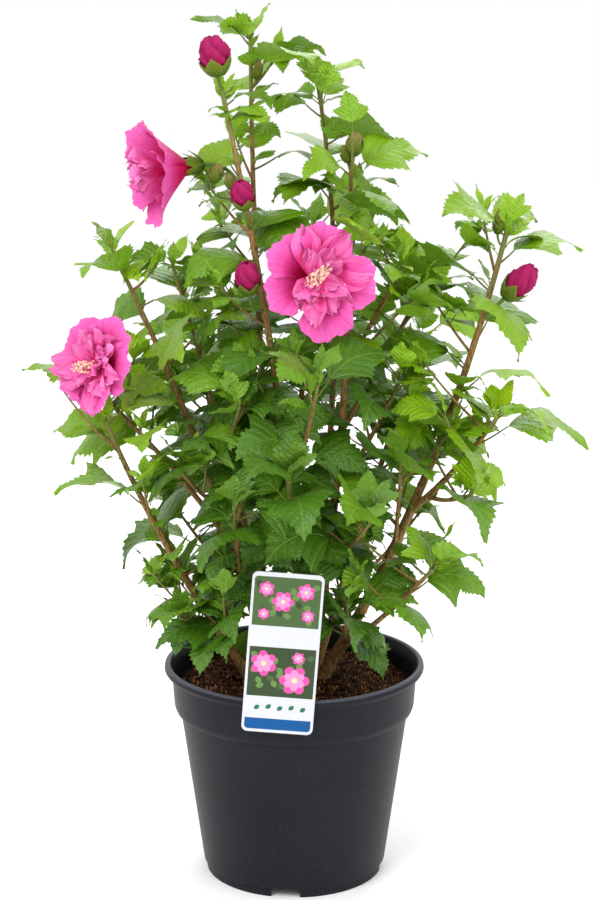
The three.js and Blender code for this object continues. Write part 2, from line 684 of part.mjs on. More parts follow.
// Then, round by round from the tips down, each mass adds the leaves and side twigs that stay clear
// of everything outside it.
const ROUNDS = 12;
for (let round = 0; round < ROUNDS; round += 1) {
  for (const mass of masses) {
    for (const twig of mass.twigs) {
      if (twig.round === round) {
        const radiusAt = (share) => SIDE_TWIG.thick + (SIDE_TWIG.thin - SIDE_TWIG.thick) * share;
        const shape = sweep(twig.curve, 0, 1, radiusAt, TWIG.sides, 2);
        twig.missing = meets(shape, mass.name);
        if (!twig.missing) {
          mass.parts.push(shape);
          remember(shape, mass.name);
        }
      }
      const first = twig.round ?? 0;
      for (const leaf of twig.leaves) {
        const due = !twig.missing && first <= round && first + leaf.round === round;
        const shape = due && leafSolid(leaf);
        if (due && !meets(shape, mass.name) && !crosses(shape, mass.parts)) {
          mass.parts.push(shape);
          remember(shape, mass.name);
        }
      }
    }
  }
}

for (const mass of masses) show(mass.name, biggest(wasm.Manifold.union(mass.parts)), COLOURS.leaf, 0.55);

export default plant;
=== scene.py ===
import json
import math

import bpy
import numpy as np
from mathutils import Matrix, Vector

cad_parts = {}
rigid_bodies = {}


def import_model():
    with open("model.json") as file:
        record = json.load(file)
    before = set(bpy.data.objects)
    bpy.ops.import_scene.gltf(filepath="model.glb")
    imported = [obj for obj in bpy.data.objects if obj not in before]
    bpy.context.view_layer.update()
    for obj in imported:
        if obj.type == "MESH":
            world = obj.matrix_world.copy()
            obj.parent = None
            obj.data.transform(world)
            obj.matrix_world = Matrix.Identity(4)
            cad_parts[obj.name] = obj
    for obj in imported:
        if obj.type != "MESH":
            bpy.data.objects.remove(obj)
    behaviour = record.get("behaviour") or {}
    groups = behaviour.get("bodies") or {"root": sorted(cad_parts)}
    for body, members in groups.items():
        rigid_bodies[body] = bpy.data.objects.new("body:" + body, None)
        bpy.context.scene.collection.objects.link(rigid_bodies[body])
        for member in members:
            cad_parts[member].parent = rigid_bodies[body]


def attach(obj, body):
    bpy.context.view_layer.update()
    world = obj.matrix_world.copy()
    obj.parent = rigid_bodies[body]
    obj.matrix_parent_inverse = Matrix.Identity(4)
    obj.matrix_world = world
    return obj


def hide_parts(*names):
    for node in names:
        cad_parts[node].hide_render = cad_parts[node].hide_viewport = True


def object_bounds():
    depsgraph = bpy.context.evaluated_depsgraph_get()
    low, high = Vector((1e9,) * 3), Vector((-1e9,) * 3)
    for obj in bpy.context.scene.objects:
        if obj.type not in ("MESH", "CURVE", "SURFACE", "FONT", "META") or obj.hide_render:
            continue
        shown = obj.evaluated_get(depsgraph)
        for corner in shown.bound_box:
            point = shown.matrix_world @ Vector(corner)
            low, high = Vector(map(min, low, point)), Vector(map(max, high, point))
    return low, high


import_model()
cad_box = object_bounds()

# ------------------------------------------------------------------ floor, light and camera
# The shrub stands on a plain, near-white floor under soft light from the front left, and is seen
# from a little above its middle with a long lens.

CAMERA_PLACE = (0.005, -1.8, 0.776)
CAMERA_PITCH = 12.6                      # degrees below level
CAMERA_LENS = 86.9                       # millimetres, before a sensor 36 mm high

camera = bpy.data.objects.new("camera", bpy.data.cameras.new("camera"))
camera.data.lens = CAMERA_LENS
camera.data.sensor_width = 36
camera.location = CAMERA_PLACE
camera.rotation_euler = (math.radians(90 - CAMERA_PITCH), 0, 0)
bpy.context.scene.collection.objects.link(camera)
bpy.context.scene.camera = camera
bpy.context.scene.view_settings.view_transform = "Standard"


def lamp(name, place, aim, size, watts):
    """A square soft light that points from its place at an aim."""
    data = bpy.data.lights.new(name, "AREA")
    data.size = size
    data.energy = watts
    made = bpy.data.objects.new(name, data)
    made.location = place
    way = np.array(aim) - np.array(place)
    flat = math.hypot(way[0], way[1])
    made.rotation_euler = (math.atan2(flat, -way[2]), 0, math.atan2(way[1], way[0]) - math.pi / 2)
    bpy.context.scene.collection.objects.link(made)


lamp("key", (-1.3, -1.9, 2.1), (0, 0, 0.4), 1.4, 42)
lamp("fill", (1.9, -1.5, 1.1), (0, 0, 0.4), 1.6, 18)
lamp("back", (0.4, 1.9, 1.9), (0, 0, 0.5), 1.6, 22)

world = bpy.data.worlds.new("studio")
world.use_nodes = True
world.node_tree.nodes["Background"].inputs["Color"].default_value = (1, 1, 1, 1)
world.node_tree.nodes["Background"].inputs["Strength"].default_value = 1.0
bpy.context.scene.world = world

bpy.ops.mesh.primitive_plane_add(size=12, location=(0, 0, 0))
floor = bpy.context.object
floor.name = "floor"
floor_finish = bpy.data.materials.new("floor")
floor_finish.use_nodes = True
floor_finish.node_tree.nodes["Principled BSDF"].inputs["Base Color"].default_value = (1, 1, 1, 1)
floor_finish.node_tree.nodes["Principled BSDF"].inputs["Roughness"].default_value = 0.9
floor.data.materials.append(floor_finish)

# ------------------------------------------------------------------ nursery pot
# A round, tapered pot of recycled black polypropylene, injection moulded, with a stepped collar, a
# rolled rim and four notches in its foot ring. It has a satin skin, dusty specks and a lighter band on
# the top of its rim, partly rubbed wear and partly a painted highlight.

MM = 0.001                               # pieces are worked out in millimetres and stored in metres
POT_SECTORS = 144
POT_NOTCHES = 4
POT_NOTCH_FIRST = -95.5                  # degrees
POT_NOTCH_WIDTH = 25
POT_NOTCH_HEIGHT = 7.5
POT_NOTCH_CLEAR, POT_NOTCH_EDGE = 0.9, 0.12  # degrees: kept clear beside an edge, and half its slope
POT_FOOT = 77
POT_FOOT_RING = (74, 79)                 # radii between which the foot ring lies
POT_PROFILE = [                          # radius, height and how far the corner is rounded
    (0, 0, 0), (13, 0, 0.6), (16, 8, 0.6), (75.2, 8, 0.6), (75.2, 0, 0.3), (77, 0, 0.5),
    (77.6, 7.5, 0.5), (79.5, 8.5, 0.8), (98.6, 143.6, 0.4), (102.3, 145.4, 0.9), (104, 149.5, 2),
    (106, 177.4, 1.2), (107.6, 179.4, 0.8), (111.3, 180.3, 1.2), (112.5, 182.5, 0.9), (111.9, 186.2, 1.1),
    (110.1, 187.3, 1.1), (107.4, 186.9, 1.2), (104.2, 178, 3), (102.2, 149.5, 2), (96.8, 144.5, 2),
    (77.1, 10.4, 1.5), (0, 10.4, 0),
]
RIM_BAND_FROM, RIM_BAND_TO = 0.1852, 0.1868  # metres up the rim, where its lighter top band, partly wear and partly a painted highlight, begins and is full
POT_BLACK = (0.0064, 0.0068, 0.0094, 1)
POT_GREY = (0.0132, 0.0138, 0.0185, 1)
# The colour of the rim's top band: partly rubbed wear, partly a painted highlight on the rounded lip.
POT_RIM_WEAR_AND_HIGHLIGHT = (0.105, 0.108, 0.140, 1)
POT_SPECK = (0.075, 0.075, 0.080, 1)


class Bundle:
    """Many strips and tubes joined into one mesh, in millimetres."""

    def __init__(self):
        self.points, self.faces, self.marks, self.kinds = [], [], [], []
        self.count = 0

    def grid(self, points, marks, kind=0, closed=False):
        """Adds rows of points as a strip of four-sided faces, or as a tube where closed."""
        rows, columns = points.shape[:2]
        across = np.arange(columns if closed else columns - 1)
        first = (np.arange(rows - 1)[:, None] * columns + across[None, :]).ravel()
        second = (np.arange(rows - 1)[:, None] * columns + (across + 1)[None, :] % columns).ravel()
        faces = np.stack([first, second, second + columns, first + columns], -1)
        self.points.append(points.reshape(-1, 3))
        self.marks.append(np.broadcast_to(marks, (rows, columns, 2)).reshape(-1, 2))
        self.faces.append(faces + self.count)
        self.kinds.append(np.full(len(faces), kind))
        self.count += rows * columns

    def piece(self, name, finishes, slot, nodes=()):
        """Makes the object, which rides on the root and stands for the nodes."""
        points = np.concatenate(self.points) * MM
        faces = np.concatenate(self.faces)
        marks = np.concatenate(self.marks)
        mesh = bpy.data.meshes.new(name)
        mesh.vertices.add(len(points))
        mesh.vertices.foreach_set("co", points.ravel())
        mesh.loops.add(faces.size)
        mesh.loops.foreach_set("vertex_index", faces.ravel())
        mesh.polygons.add(len(faces))
        mesh.polygons.foreach_set("loop_start", np.arange(0, faces.size, 4))
        mesh.polygons.foreach_set("material_index", np.concatenate(self.kinds))
        mesh.polygons.foreach_set("use_smooth", np.ones(len(faces), bool))
        mesh.uv_layers.new(name="UVMap").data.foreach_set("uv", marks[faces.ravel()].ravel())
        mesh.update()
        mesh.validate()
        placed(name, mesh, finishes, nodes)


def placed(name, mesh, finishes, nodes=()):
    """Links a mesh as a piece with its finishes, on the root."""
    for finish in finishes:
        mesh.materials.append(finish)
    made = bpy.data.objects.new(name, mesh)
    bpy.context.scene.collection.objects.link(made)
    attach(made, "root")
    if nodes:
        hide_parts(*nodes)


def node(tree, kind, inputs=None, **settings):
    """Adds a shader or geometry node, with its settings, and fills or links its inputs."""
    made = tree.nodes.new(kind)
    for key, value in settings.items():
        setattr(made, key, value)
    for key, value in (inputs or {}).items():
        if isinstance(value, bpy.types.NodeSocket):
            tree.links.new(value, made.inputs[key])
        else:
            made.inputs[key].default_value = value
    return made


def new_group(name, inputs, outputs, kind="ShaderNodeTree"):
    """An empty node group with its sockets, and the sockets of its two end nodes."""
    tree = bpy.data.node_groups.new(name, kind)
    for socket, (form, value) in inputs.items():
        made = tree.interface.new_socket(name=socket, in_out="INPUT", socket_type=form)
        if value is not None:
            made.default_value = value
    for socket, form in outputs.items():
        tree.interface.new_socket(name=socket, in_out="OUTPUT", socket_type=form)
    return tree, tree.nodes.new("NodeGroupInput").outputs, tree.nodes.new("NodeGroupOutput").inputs


def blended(tree, factor, first, second):
    """The colour between two colours at a factor."""
    made = node(tree, "ShaderNodeMix", {0: factor, 6: first, 7: second}, data_type="RGBA")
    return made.outputs[2]


def reckoned(tree, operation, *values):
    """The result of an operation on values."""
    return node(tree, "ShaderNodeMath", dict(enumerate(values)), operation=operation).outputs[0]


def mapped(tree, value, low, high, start=0.0, end=1.0):
    """A value carried from the range low to high to the range start to end, and held there."""
    return node(tree, "ShaderNodeMapRange", {
        "Value": value, "From Min": low, "From Max": high, "To Min": start, "To Max": end,
    }).outputs[0]


def filled(tree, group, inputs):
    """The outputs of a shader group placed in a tree."""
    return node(tree, "ShaderNodeGroup", inputs, node_tree=group).outputs


# Two colours in soft patches, and an uneven surface: the finishes of several pieces share them.
mottle, given, out = new_group("mottle", {
    "Vector": ("NodeSocketVector", None), "Scale": ("NodeSocketFloat", 40.0),
    "Sharp": ("NodeSocketFloat", 0.3), "First": ("NodeSocketColor", None),
    "Second": ("NodeSocketColor", None),
}, {"Colour": "NodeSocketColor", "Mask": "NodeSocketFloat"})
cloud = node(mottle, "ShaderNodeTexNoise", {
    "Vector": given["Vector"], "Scale": given["Scale"], "Detail": 3.0,
})
low = reckoned(mottle, "SUBTRACT", 0.5, given["Sharp"])
high = reckoned(mottle, "ADD", 0.5, given["Sharp"])
patch = mapped(mottle, cloud.outputs["Fac"], low, high)
mottle.links.new(blended(mottle, patch, given["First"], given["Second"]), out["Colour"])
mottle.links.new(patch, out["Mask"])

relief, given, out = new_group("relief", {
    "Vector": ("NodeSocketVector", None), "Scale": ("NodeSocketFloat", 400.0),
    "Depth": ("NodeSocketFloat", 0.0002),
}, {"Normal": "NodeSocketVector"})
grain = node(relief, "ShaderNodeTexNoise", {
    "Vector": given["Vector"], "Scale": given["Scale"], "Detail": 4.0,
})
bump = node(relief, "ShaderNodeBump", {
    "Height": grain.outputs["Fac"], "Distance": given["Depth"], "Strength": 1.0,
})
relief.links.new(bump.outputs["Normal"], out["Normal"])


def finish_of(name, roughness, specular=0.5):
    """A material with its node tree, its Principled shader and the Object coordinates."""
    made = bpy.data.materials.new(name)
    made.use_nodes = True
    tree = made.node_tree
    shader = tree.nodes["Principled BSDF"]
    shader.inputs["Roughness"].default_value = roughness
    shader.inputs["Specular IOR Level"].default_value = specular
    return made, tree, shader, tree.nodes.new("ShaderNodeTexCoord").outputs


def rounded(profile, steps=4):
    """A profile with each corner turned into a small arc."""
    points = [np.array(row[:2], float) for row in profile]
    made = [points[0]]
    for before, here, after, row in zip(points, points[1:], points[2:], profile[1:]):
        reach = row[2]
        start = here + (before - here) / np.linalg.norm(before - here) * reach
        end = here + (after - here) / np.linalg.norm(after - here) * reach
        for step in range(steps + 1):
            t = step / steps
            made.append((1 - t) ** 2 * start + 2 * t * (1 - t) * here + t * t * end)
    return np.array(made + [points[-1]])


def pot_angles():
    """Even sectors, with a close pair at each edge of a notch instead of those near it."""
    half = math.degrees(math.asin(POT_NOTCH_WIDTH / 2 / POT_FOOT))
    angles = list(np.arange(POT_SECTORS) * 360 / POT_SECTORS)
    for side in range(POT_NOTCHES):
        middle = POT_NOTCH_FIRST + side * 360 / POT_NOTCHES
        for edge in (-half, half):
            angles = [a for a in angles if abs((a - middle - edge + 180) % 360 - 180) > POT_NOTCH_CLEAR]
            angles += [(middle + edge - POT_NOTCH_EDGE) % 360, (middle + edge + POT_NOTCH_EDGE) % 360]
    return np.radians(sorted(angles)), math.radians(half)


def turned(outline, angles):
    """An outline of radius and height, carried round the upright axis through the angles."""
    rings = np.zeros((len(outline), len(angles), 3))
    rings[:, :, 0] = outline[:, :1] * np.cos(angles)
    rings[:, :, 1] = outline[:, :1] * np.sin(angles)
    rings[:, :, 2] = outline[:, 1:]
    return rings


pot = Bundle()
outline = rounded(POT_PROFILE)
angles, notch_half = pot_angles()
rings = turned(outline, angles)
on_ring = (outline[:, 0] > POT_FOOT_RING[0]) & (outline[:, 0] < POT_FOOT_RING[1])
for side in range(POT_NOTCHES):
    middle = math.radians(POT_NOTCH_FIRST + side * 360 / POT_NOTCHES)
    inside = np.abs((angles - middle + math.pi) % (2 * math.pi) - math.pi) < notch_half
    foot = on_ring & (outline[:, 1] < POT_NOTCH_HEIGHT)
    notch = rings[np.ix_(foot, inside)]
    notch[:, :, 2] = POT_NOTCH_HEIGHT
    rings[np.ix_(foot, inside)] = notch
pot.grid(rings, np.zeros(2), closed=True)

pot_plastic, tree, shader, place = finish_of("pot_plastic", 0.42, 0.13)
clouded = filled(tree, mottle, {
    "Vector": place["Object"], "Scale": 14.0, "Sharp": 0.45, "First": POT_BLACK, "Second": POT_GREY,
})
specks = node(tree, "ShaderNodeTexNoise", {"Vector": place["Object"], "Scale": 750.0, "Detail": 1.0})
dust = mapped(tree, specks.outputs["Fac"], 0.71, 0.77)
height = node(tree, "ShaderNodeSeparateXYZ", {"Vector": place["Object"]}).outputs["Z"]
# The top of the rim is painted lighter: partly rubbed wear, partly a painted highlight.
rim_wear_and_highlight = reckoned(tree, "MULTIPLY", mapped(tree, height, RIM_BAND_FROM, RIM_BAND_TO), 0.85)
speckled = blended(tree, reckoned(tree, "MULTIPLY", dust, 0.6), clouded["Colour"], POT_SPECK)
tree.links.new(blended(tree, rim_wear_and_highlight, speckled, POT_RIM_WEAR_AND_HIGHLIGHT), shader.inputs["Base Color"])
tree.links.new(mapped(tree, clouded["Mask"], 0.0, 1.0, 0.40, 0.46), shader.inputs["Roughness"])
skin = filled(tree, relief, {"Vector": place["Object"], "Scale": 650.0, "Depth": 0.00004})
tree.links.new(skin["Normal"], shader.inputs["Normal"])
pot.piece("pot_shell", [pot_plastic], "pot", ["pot"])

# ------------------------------------------------------------------ compost
# Dark brown peat and bark compost fills the pot to just under its collar. Its top is crumbly: loose
# granules, bark chips and tan fibres lie on it, strewn by one Geometry Nodes tree.

COMPOST_RADIUS = [0, 20, 42, 74, 98, 103.6]
COMPOST_HEIGHT = [172, 172, 171.6, 169.6, 166.6, 165.4]  # its top, at each of these radii
POLE = 0.4                               # radius of the small hole left on the axis
COMPOST_SIDE = [(101.6, 149.7), (96.3, 144.9), (76.4, 11), (POLE, 10.9)]
COMPOST_SECTORS, COMPOST_RINGS = 96, 40
COMPOST_LUMPS = 0.55
COMPOST_DARK = (0.005, 0.0020, 0.0012, 1)
COMPOST_WARM = (0.055, 0.020, 0.0075, 1)

compost_finishes = []
for name, first, second in (
    ("compost_earth", COMPOST_DARK, COMPOST_WARM),
    ("compost_crumb", (0.008, 0.003, 0.0015, 1), (0.150, 0.056, 0.022, 1)),
    ("compost_fibre", (0.13, 0.046, 0.016, 1), (0.55, 0.27, 0.11, 1)),
):
    finish, tree, shader, place = finish_of(name, 0.9, 0.06)
    patches = filled(tree, mottle, {
        "Vector": place["Object"], "Scale": 130.0, "Sharp": 0.14, "First": first, "Second": second,
    })
    tree.links.new(patches["Colour"], shader.inputs["Base Color"])
    rough = filled(tree, relief, {"Vector": place["Object"], "Scale": 700.0, "Depth": 0.0008})
    tree.links.new(rough["Normal"], shader.inputs["Normal"])
    compost_finishes.append(finish)

compost = Bundle()
rng = np.random.default_rng(5)
sectors = np.linspace(0, 2 * math.pi, COMPOST_SECTORS, endpoint=False)
radii = np.concatenate([[POLE], np.linspace(3, COMPOST_RADIUS[-1], COMPOST_RINGS)])
lumps = rng.normal(0, COMPOST_LUMPS, (len(radii), len(sectors)))
lumps[:2] = 0
lumps[-1] = 0
top = turned(np.stack([radii, np.interp(radii, COMPOST_RADIUS, COMPOST_HEIGHT)], -1), sectors)
top[:, :, 2] += lumps
body = turned(np.array(COMPOST_SIDE), sectors)
compost.grid(np.concatenate([top, body])[::-1], np.zeros(2), closed=True)
compost.piece("compost_bed", compost_finishes[:1], "compost", ["compost"])

# Strewn bits: points on a surface, each with a small lump, turned and stretched at random.
strewn, given, out = new_group("strewn_bits", {
    "Surface": ("NodeSocketGeometry", None), "Bits per square metre": ("NodeSocketFloat", 1000.0),
    "Size": ("NodeSocketFloat", 0.002), "Long": ("NodeSocketFloat", 1.0), "Seed": ("NodeSocketInt", 1),
    "Finish": ("NodeSocketMaterial", None),
}, {"Bits": "NodeSocketGeometry"}, "GeometryNodeTree")
spots = node(strewn, "GeometryNodeDistributePointsOnFaces", {
    "Mesh": given["Surface"], "Density": given["Bits per square metre"], "Seed": given["Seed"],
})
lump = node(strewn, "GeometryNodeMeshIcoSphere", {"Radius": given["Size"], "Subdivisions": 1})
turns = node(strewn, "FunctionNodeRandomValue", {
    "Min": (0, 0, 0), "Max": (6.28, 6.28, 6.28), "Seed": given["Seed"],
}, data_type="FLOAT_VECTOR")
narrow = node(strewn, "FunctionNodeRandomValue", {
    "Min": (0.35, 0.35, 0.3), "Max": (0.9, 0.8, 0.7), "Seed": given["Seed"],
}, data_type="FLOAT_VECTOR")
stretch = node(strewn, "ShaderNodeCombineXYZ", {"X": given["Long"], "Y": 1.0, "Z": 1.0})
sized = node(strewn, "ShaderNodeVectorMath", {
    0: narrow.outputs["Value"], 1: stretch.outputs[0],
}, operation="MULTIPLY")
strewing = node(strewn, "GeometryNodeInstanceOnPoints", {
    "Points": spots.outputs["Points"], "Instance": lump.outputs["Mesh"],
    "Rotation": turns.outputs["Value"], "Scale": sized.outputs[0],
})
real = node(strewn, "GeometryNodeRealizeInstances", {"Geometry": strewing.outputs[0]})
painted = node(strewn, "GeometryNodeSetMaterial", {"Geometry": real.outputs[0], "Material": given["Finish"]})
strewn.links.new(painted.outputs[0], out["Bits"])


def strew(name, surface, density, size, long, seed, finish):
    """Strews bits over a surface mesh, as a plain mesh of its own. Density is per square metre."""
    carrier = bpy.data.objects.new("carrier", surface)
    bpy.context.scene.collection.objects.link(carrier)
    modifier = carrier.modifiers.new("strewn", "NODES")
    modifier.node_group = strewn
    sockets = {item.name: item.identifier for item in strewn.interface.items_tree if item.in_out == "INPUT"}
    for key, value in {
        "Bits per square metre": density, "Size": size, "Long": long, "Seed": seed, "Finish": finish,
    }.items():
        modifier[sockets[key]] = value
    bpy.context.view_layer.update()
    mesh = bpy.data.meshes.new_from_object(carrier.evaluated_get(bpy.context.evaluated_depsgraph_get()))
    bpy.data.objects.remove(carrier)
    mesh.name = name
    mesh.materials.clear()
    placed(name, mesh, [finish])


surface = Bundle()
surface.grid(top[:-2], np.zeros(2), closed=True)
soil_top = bpy.data.meshes.new("soil_top")
soil_top.from_pydata((surface.points[0] * MM).tolist(), [], surface.faces[0].tolist())
for name, density, size, long, seed, finish in (
    ("compost_crumbs", 60000, 0.0016, 1.3, 3, compost_finishes[1]),
    ("compost_lumps", 9000, 0.0030, 1.3, 4, compost_finishes[0]),
    ("compost_fibres", 34000, 0.0008, 5.0, 8, compost_finishes[2]),
):
    strew(name, soil_top, density, size, long, seed, finish)

# ------------------------------------------------------------------ picture label
# A stiff white plastic card with rounded corners stands outside the rim, leaning a little, and hooks
# over it by a tongue. It carries a plain printed design: two panels of flowers, small leaves, a foot band.

CARD_WIDTH, CARD_HEIGHT, CARD_THICK, CARD_CORNER = 58.5, 136, 0.9, 5
CARD_CENTRE = (-9, -113.6, 229.4)
CARD_TILT = 4.4                          # degrees
CARD_EDGE, CARD_FACE = 0.18, 0.992       # how deep the front's rounded edge is, and the share inside it
TONGUE_WIDTH, TONGUE_BACK, TONGUE_THICK, TONGUE_LOW = 18, -101.2, 0.8, 174
POT_HEIGHT, CLEAR = 187.3, 0.3
INK_LAYER = 0.05
PRINT_HALF = 27.1                        # half the width of what is printed
PANELS = ((23, 64.4, 3, "card_green"), (-37, 5, 0, "card_shade"))  # foot, top, corners and ink
PRINTED_LEAVES, PRINTED_LEAF, PRINTED_LEAF_WIDTH = 24, 6.8, 2.5
PRINTED_FLOWERS = (                      # across, up and radius
    (-17, 54, 6.5), (-3, 44, 9), (15, 53, 7.5), (-18, 33, 5), (18, 33, 5.5), (-15, -9, 11),
    (11, -22, 12.5), (13, -3, 5.5),
)
FOOT_BAND = (-65.4, -56)
CARD_INKS = {
    "card_white": (0.60, 0.61, 0.66), "card_shade": (0.035, 0.060, 0.024),
    "card_green": (0.060, 0.115, 0.035), "card_leaf": (0.12, 0.22, 0.06),
    "card_pink": (0.62, 0.075, 0.32), "card_rose": (0.74, 0.26, 0.52),
    "card_cream": (0.80, 0.62, 0.34), "card_blue": (0.0, 0.078, 0.26), "card_dot": (0.015, 0.16, 0.075),
}


def on_card(points, layer):
    """Points given across and up the card, put on its front, some ink layers proud."""
    tilt = math.radians(CARD_TILT)
    across, up = np.asarray(points, float).T
    front = np.full(len(across), CARD_CENTRE[1] - CARD_THICK / 2 - layer * INK_LAYER)
    return np.stack([
        CARD_CENTRE[0] + across * math.cos(tilt) + up * math.sin(tilt), front,
        CARD_CENTRE[2] - across * math.sin(tilt) + up * math.cos(tilt),
    ], -1)


def rounded_box(left, low, right, high, corners):
    """A box outline with a corner radius for each corner, counter-clockwise from the low left."""
    points = []
    places = ((left, low), (right, low), (right, high), (left, high))
    for (x, z), radius, start in zip(places, corners, (180, 270, 0, 90)):
        middle = (x + (radius if x == left else -radius), z + (radius if z == low else -radius))
        for turn in np.radians(np.linspace(start, start + 90, 7 if radius else 1)):
            points.append((middle[0] + radius * math.cos(turn), middle[1] + radius * math.sin(turn)))
    return points


def petal_outline(x, z, radius, petals, notch, turn=0.0, steps=72):
    """The outline of a flat printed flower with round petals."""
    angles = np.linspace(0, 2 * math.pi, steps, endpoint=False)
    reach = radius * (1 - notch + notch * np.abs(np.cos(petals * (angles + turn) / 2)) ** 0.7)
    return np.stack([x + reach * np.cos(angles), z + reach * np.sin(angles)], -1)


def leaf_outline(x, z, length, width, turn, steps=12):
    """The outline of a flat printed leaf that starts at a point."""
    along = np.linspace(0, 1, steps)
    half = width * np.sin(math.pi * along) ** 0.8
    out = np.concatenate([along * length, along[-2:0:-1] * length])
    side = np.concatenate([-half, half[-2:0:-1]])
    turn = math.radians(turn)
    return np.stack([
        x + out * math.cos(turn) - side * math.sin(turn), z + out * math.sin(turn) + side * math.cos(turn),
    ], -1)


class Card:
    """Flat printed shapes on the card's front."""

    def __init__(self):
        self.points, self.faces, self.kinds = [], [], []

    def ink(self, outline, layer, kind):
        """Lays a shape of one ink on the card, in a layer of its own."""
        start = len(self.points)
        self.points += on_card(outline, layer).tolist()
        self.faces.append(list(range(start, start + len(outline))))
        self.kinds.append(list(CARD_INKS).index(kind))


card = Card()
edge = rounded_box(-CARD_WIDTH / 2, -CARD_HEIGHT / 2, CARD_WIDTH / 2, CARD_HEIGHT / 2, [CARD_CORNER] * 4)
front = on_card(edge, 0)
card.points = np.concatenate([
    on_card(np.array(edge) * CARD_FACE, 0), front + (0, CARD_EDGE, 0), front + (0, CARD_THICK, 0),
]).tolist()
count = len(edge)
card.faces = [list(range(count)), list(range(3 * count - 1, 2 * count - 1, -1))]
for row in range(2):
    for a in range(count):
        b = (a + 1) % count
        card.faces.append([row * count + b, row * count + a, (row + 1) * count + a, (row + 1) * count + b])
card.kinds = [0] * len(card.faces)
for low, high, corner, ground in PANELS:
    card.ink(rounded_box(-PRINT_HALF, low, PRINT_HALF, high, [0, 0, corner, corner]), 1, ground)
    for index in range(PRINTED_LEAVES):
        x, z = -20 + 8 * (index % 6), low + 8 + 8.4 * (index // 6)
        kind = ("card_leaf", "card_shade", "card_leaf", "card_green")[(index + corner) % 4]
        leaf = leaf_outline(x, z, PRINTED_LEAF, PRINTED_LEAF_WIDTH, 47 * index + 20)
        card.ink(leaf, 2 + 0.03 * index, kind)
for x, z, radius in PRINTED_FLOWERS:
    layer = 3 + 0.02 * x
    card.ink(petal_outline(x, z, radius, 6, 0.34, turn=z), layer, "card_pink")
    card.ink(petal_outline(x, z, radius * 0.72, 6, 0.38, turn=z + 0.5), layer + 1, "card_rose")
    card.ink(petal_outline(x, z, radius * 0.2, 8, 0.15), layer + 2, "card_cream")
for index in range(5):
    card.ink(leaf_outline(-20 + 9.4 * index, -48.5 + index % 2, 5.5, 1.9, 40), 1, "card_dot")
card.ink(rounded_box(-PRINT_HALF, FOOT_BAND[0], PRINT_HALF, FOOT_BAND[1], [3, 3, 0, 0]), 1, "card_blue")

bridge = POT_HEIGHT + CLEAR
tongue_half, tongue_top = TONGUE_WIDTH / 2, bridge + TONGUE_THICK
for low, high in (
    ((-tongue_half, CARD_CENTRE[1], bridge), (tongue_half, TONGUE_BACK, tongue_top)),
    ((-tongue_half, TONGUE_BACK, TONGUE_LOW), (tongue_half, TONGUE_BACK + TONGUE_THICK, tongue_top)),
):
    start = len(card.points)
    for z in (low[2], high[2]):
        card.points += [(CARD_CENTRE[0] + x, y, z) for x, y in (
            (low[0], low[1]), (high[0], low[1]), (high[0], high[1]), (low[0], high[1]),
        )]
    for face in ((3, 2, 1, 0), (4, 5, 6, 7), (0, 1, 5, 4), (1, 2, 6, 5), (2, 3, 7, 6), (3, 0, 4, 7)):
        card.faces.append([start + corner for corner in face])
        card.kinds.append(0)

card_finishes = []
for name, colour in CARD_INKS.items():
    finish, tree, shader, place = finish_of(name, 0.36, 0.22)
    printed = filled(tree, mottle, {
        "Vector": place["Object"], "Scale": 120.0, "Sharp": 0.3, "First": (*colour, 1),
        "Second": (*(0.93 * c for c in colour), 1),
    })
    tree.links.new(printed["Colour"], shader.inputs["Base Color"])
    card_finishes.append(finish)
card_mesh = bpy.data.meshes.new("label_card")
card_mesh.from_pydata((np.array(card.points) * MM).tolist(), [], card.faces)
card_mesh.polygons.foreach_set("material_index", card.kinds)
card_mesh.update()
placed("label_card", card_mesh, card_finishes, ["label"])

# ------------------------------------------------------------------ stock, stems and boughs
# A clump of woody stems rises from one low, lobed stock, flared where it meets the ground. The bark is
# tan brown, finely cracked along the stem and ringed at the old leaf scars, and green near the tips.

GROUND, BELOW = 172.0, 7.0
RING_SPACING = 2.6                       # between the rings of points along a limb
LIMB_SIDES, OLD_WOOD = 12, 0.62          # sides of a limb, and how old the bark is where leaves begin
STEMS = {                                # girth is its radius at the foot and at the tip
    "left_low": dict(
        foot=(-33, -5), knee=(-115, -34, 298), tip=(-154, -60, 412), girth=(4.3, 1.8), leafy=262),
    "left": dict(foot=(-18, -8), knee=(-70, -8, 379), tip=(-149, -20, 545), girth=(3.9, 1.7), leafy=350),
    "left_back": dict(foot=(-12, 14), knee=(-57, 45, 370), tip=(-105, 60, 524), girth=(3.1, 1.6), leafy=380),
    "flowering": dict(foot=(10, -22), knee=(0, -54, 417), tip=(-58, -35, 678), girth=(4.2, 1.9), leafy=400),
    "tall": dict(foot=(-2, 10), knee=(-35, 20, 426), tip=(-36, 30, 716), girth=(3.5, 1.6), leafy=440),
    "mid_back": dict(foot=(6, 18), knee=(56, 58, 470), tip=(20, 70, 676), girth=(3.3, 1.6), leafy=430),
    "centre": dict(foot=(14, -6), knee=(50, -37, 415), tip=(47, 0, 622), girth=(3.9, 1.8), leafy=420),
    "right": dict(foot=(20, 0), knee=(122, -12, 335), tip=(176, -10, 562), girth=(5.4, 2.0), leafy=345),
    "back_left": dict(foot=(-18, 20), knee=(-62, 100, 300), tip=(-88, 158, 440), girth=(3.6, 1.7), leafy=300),
    "back": dict(foot=(0, 26), knee=(0, 92, 340), tip=(16, 150, 545), girth=(3.8, 1.7), leafy=350),
    "back_right": dict(foot=(16, 16), knee=(66, 92, 300), tip=(116, 156, 446), girth=(3.7, 1.7), leafy=310),
}
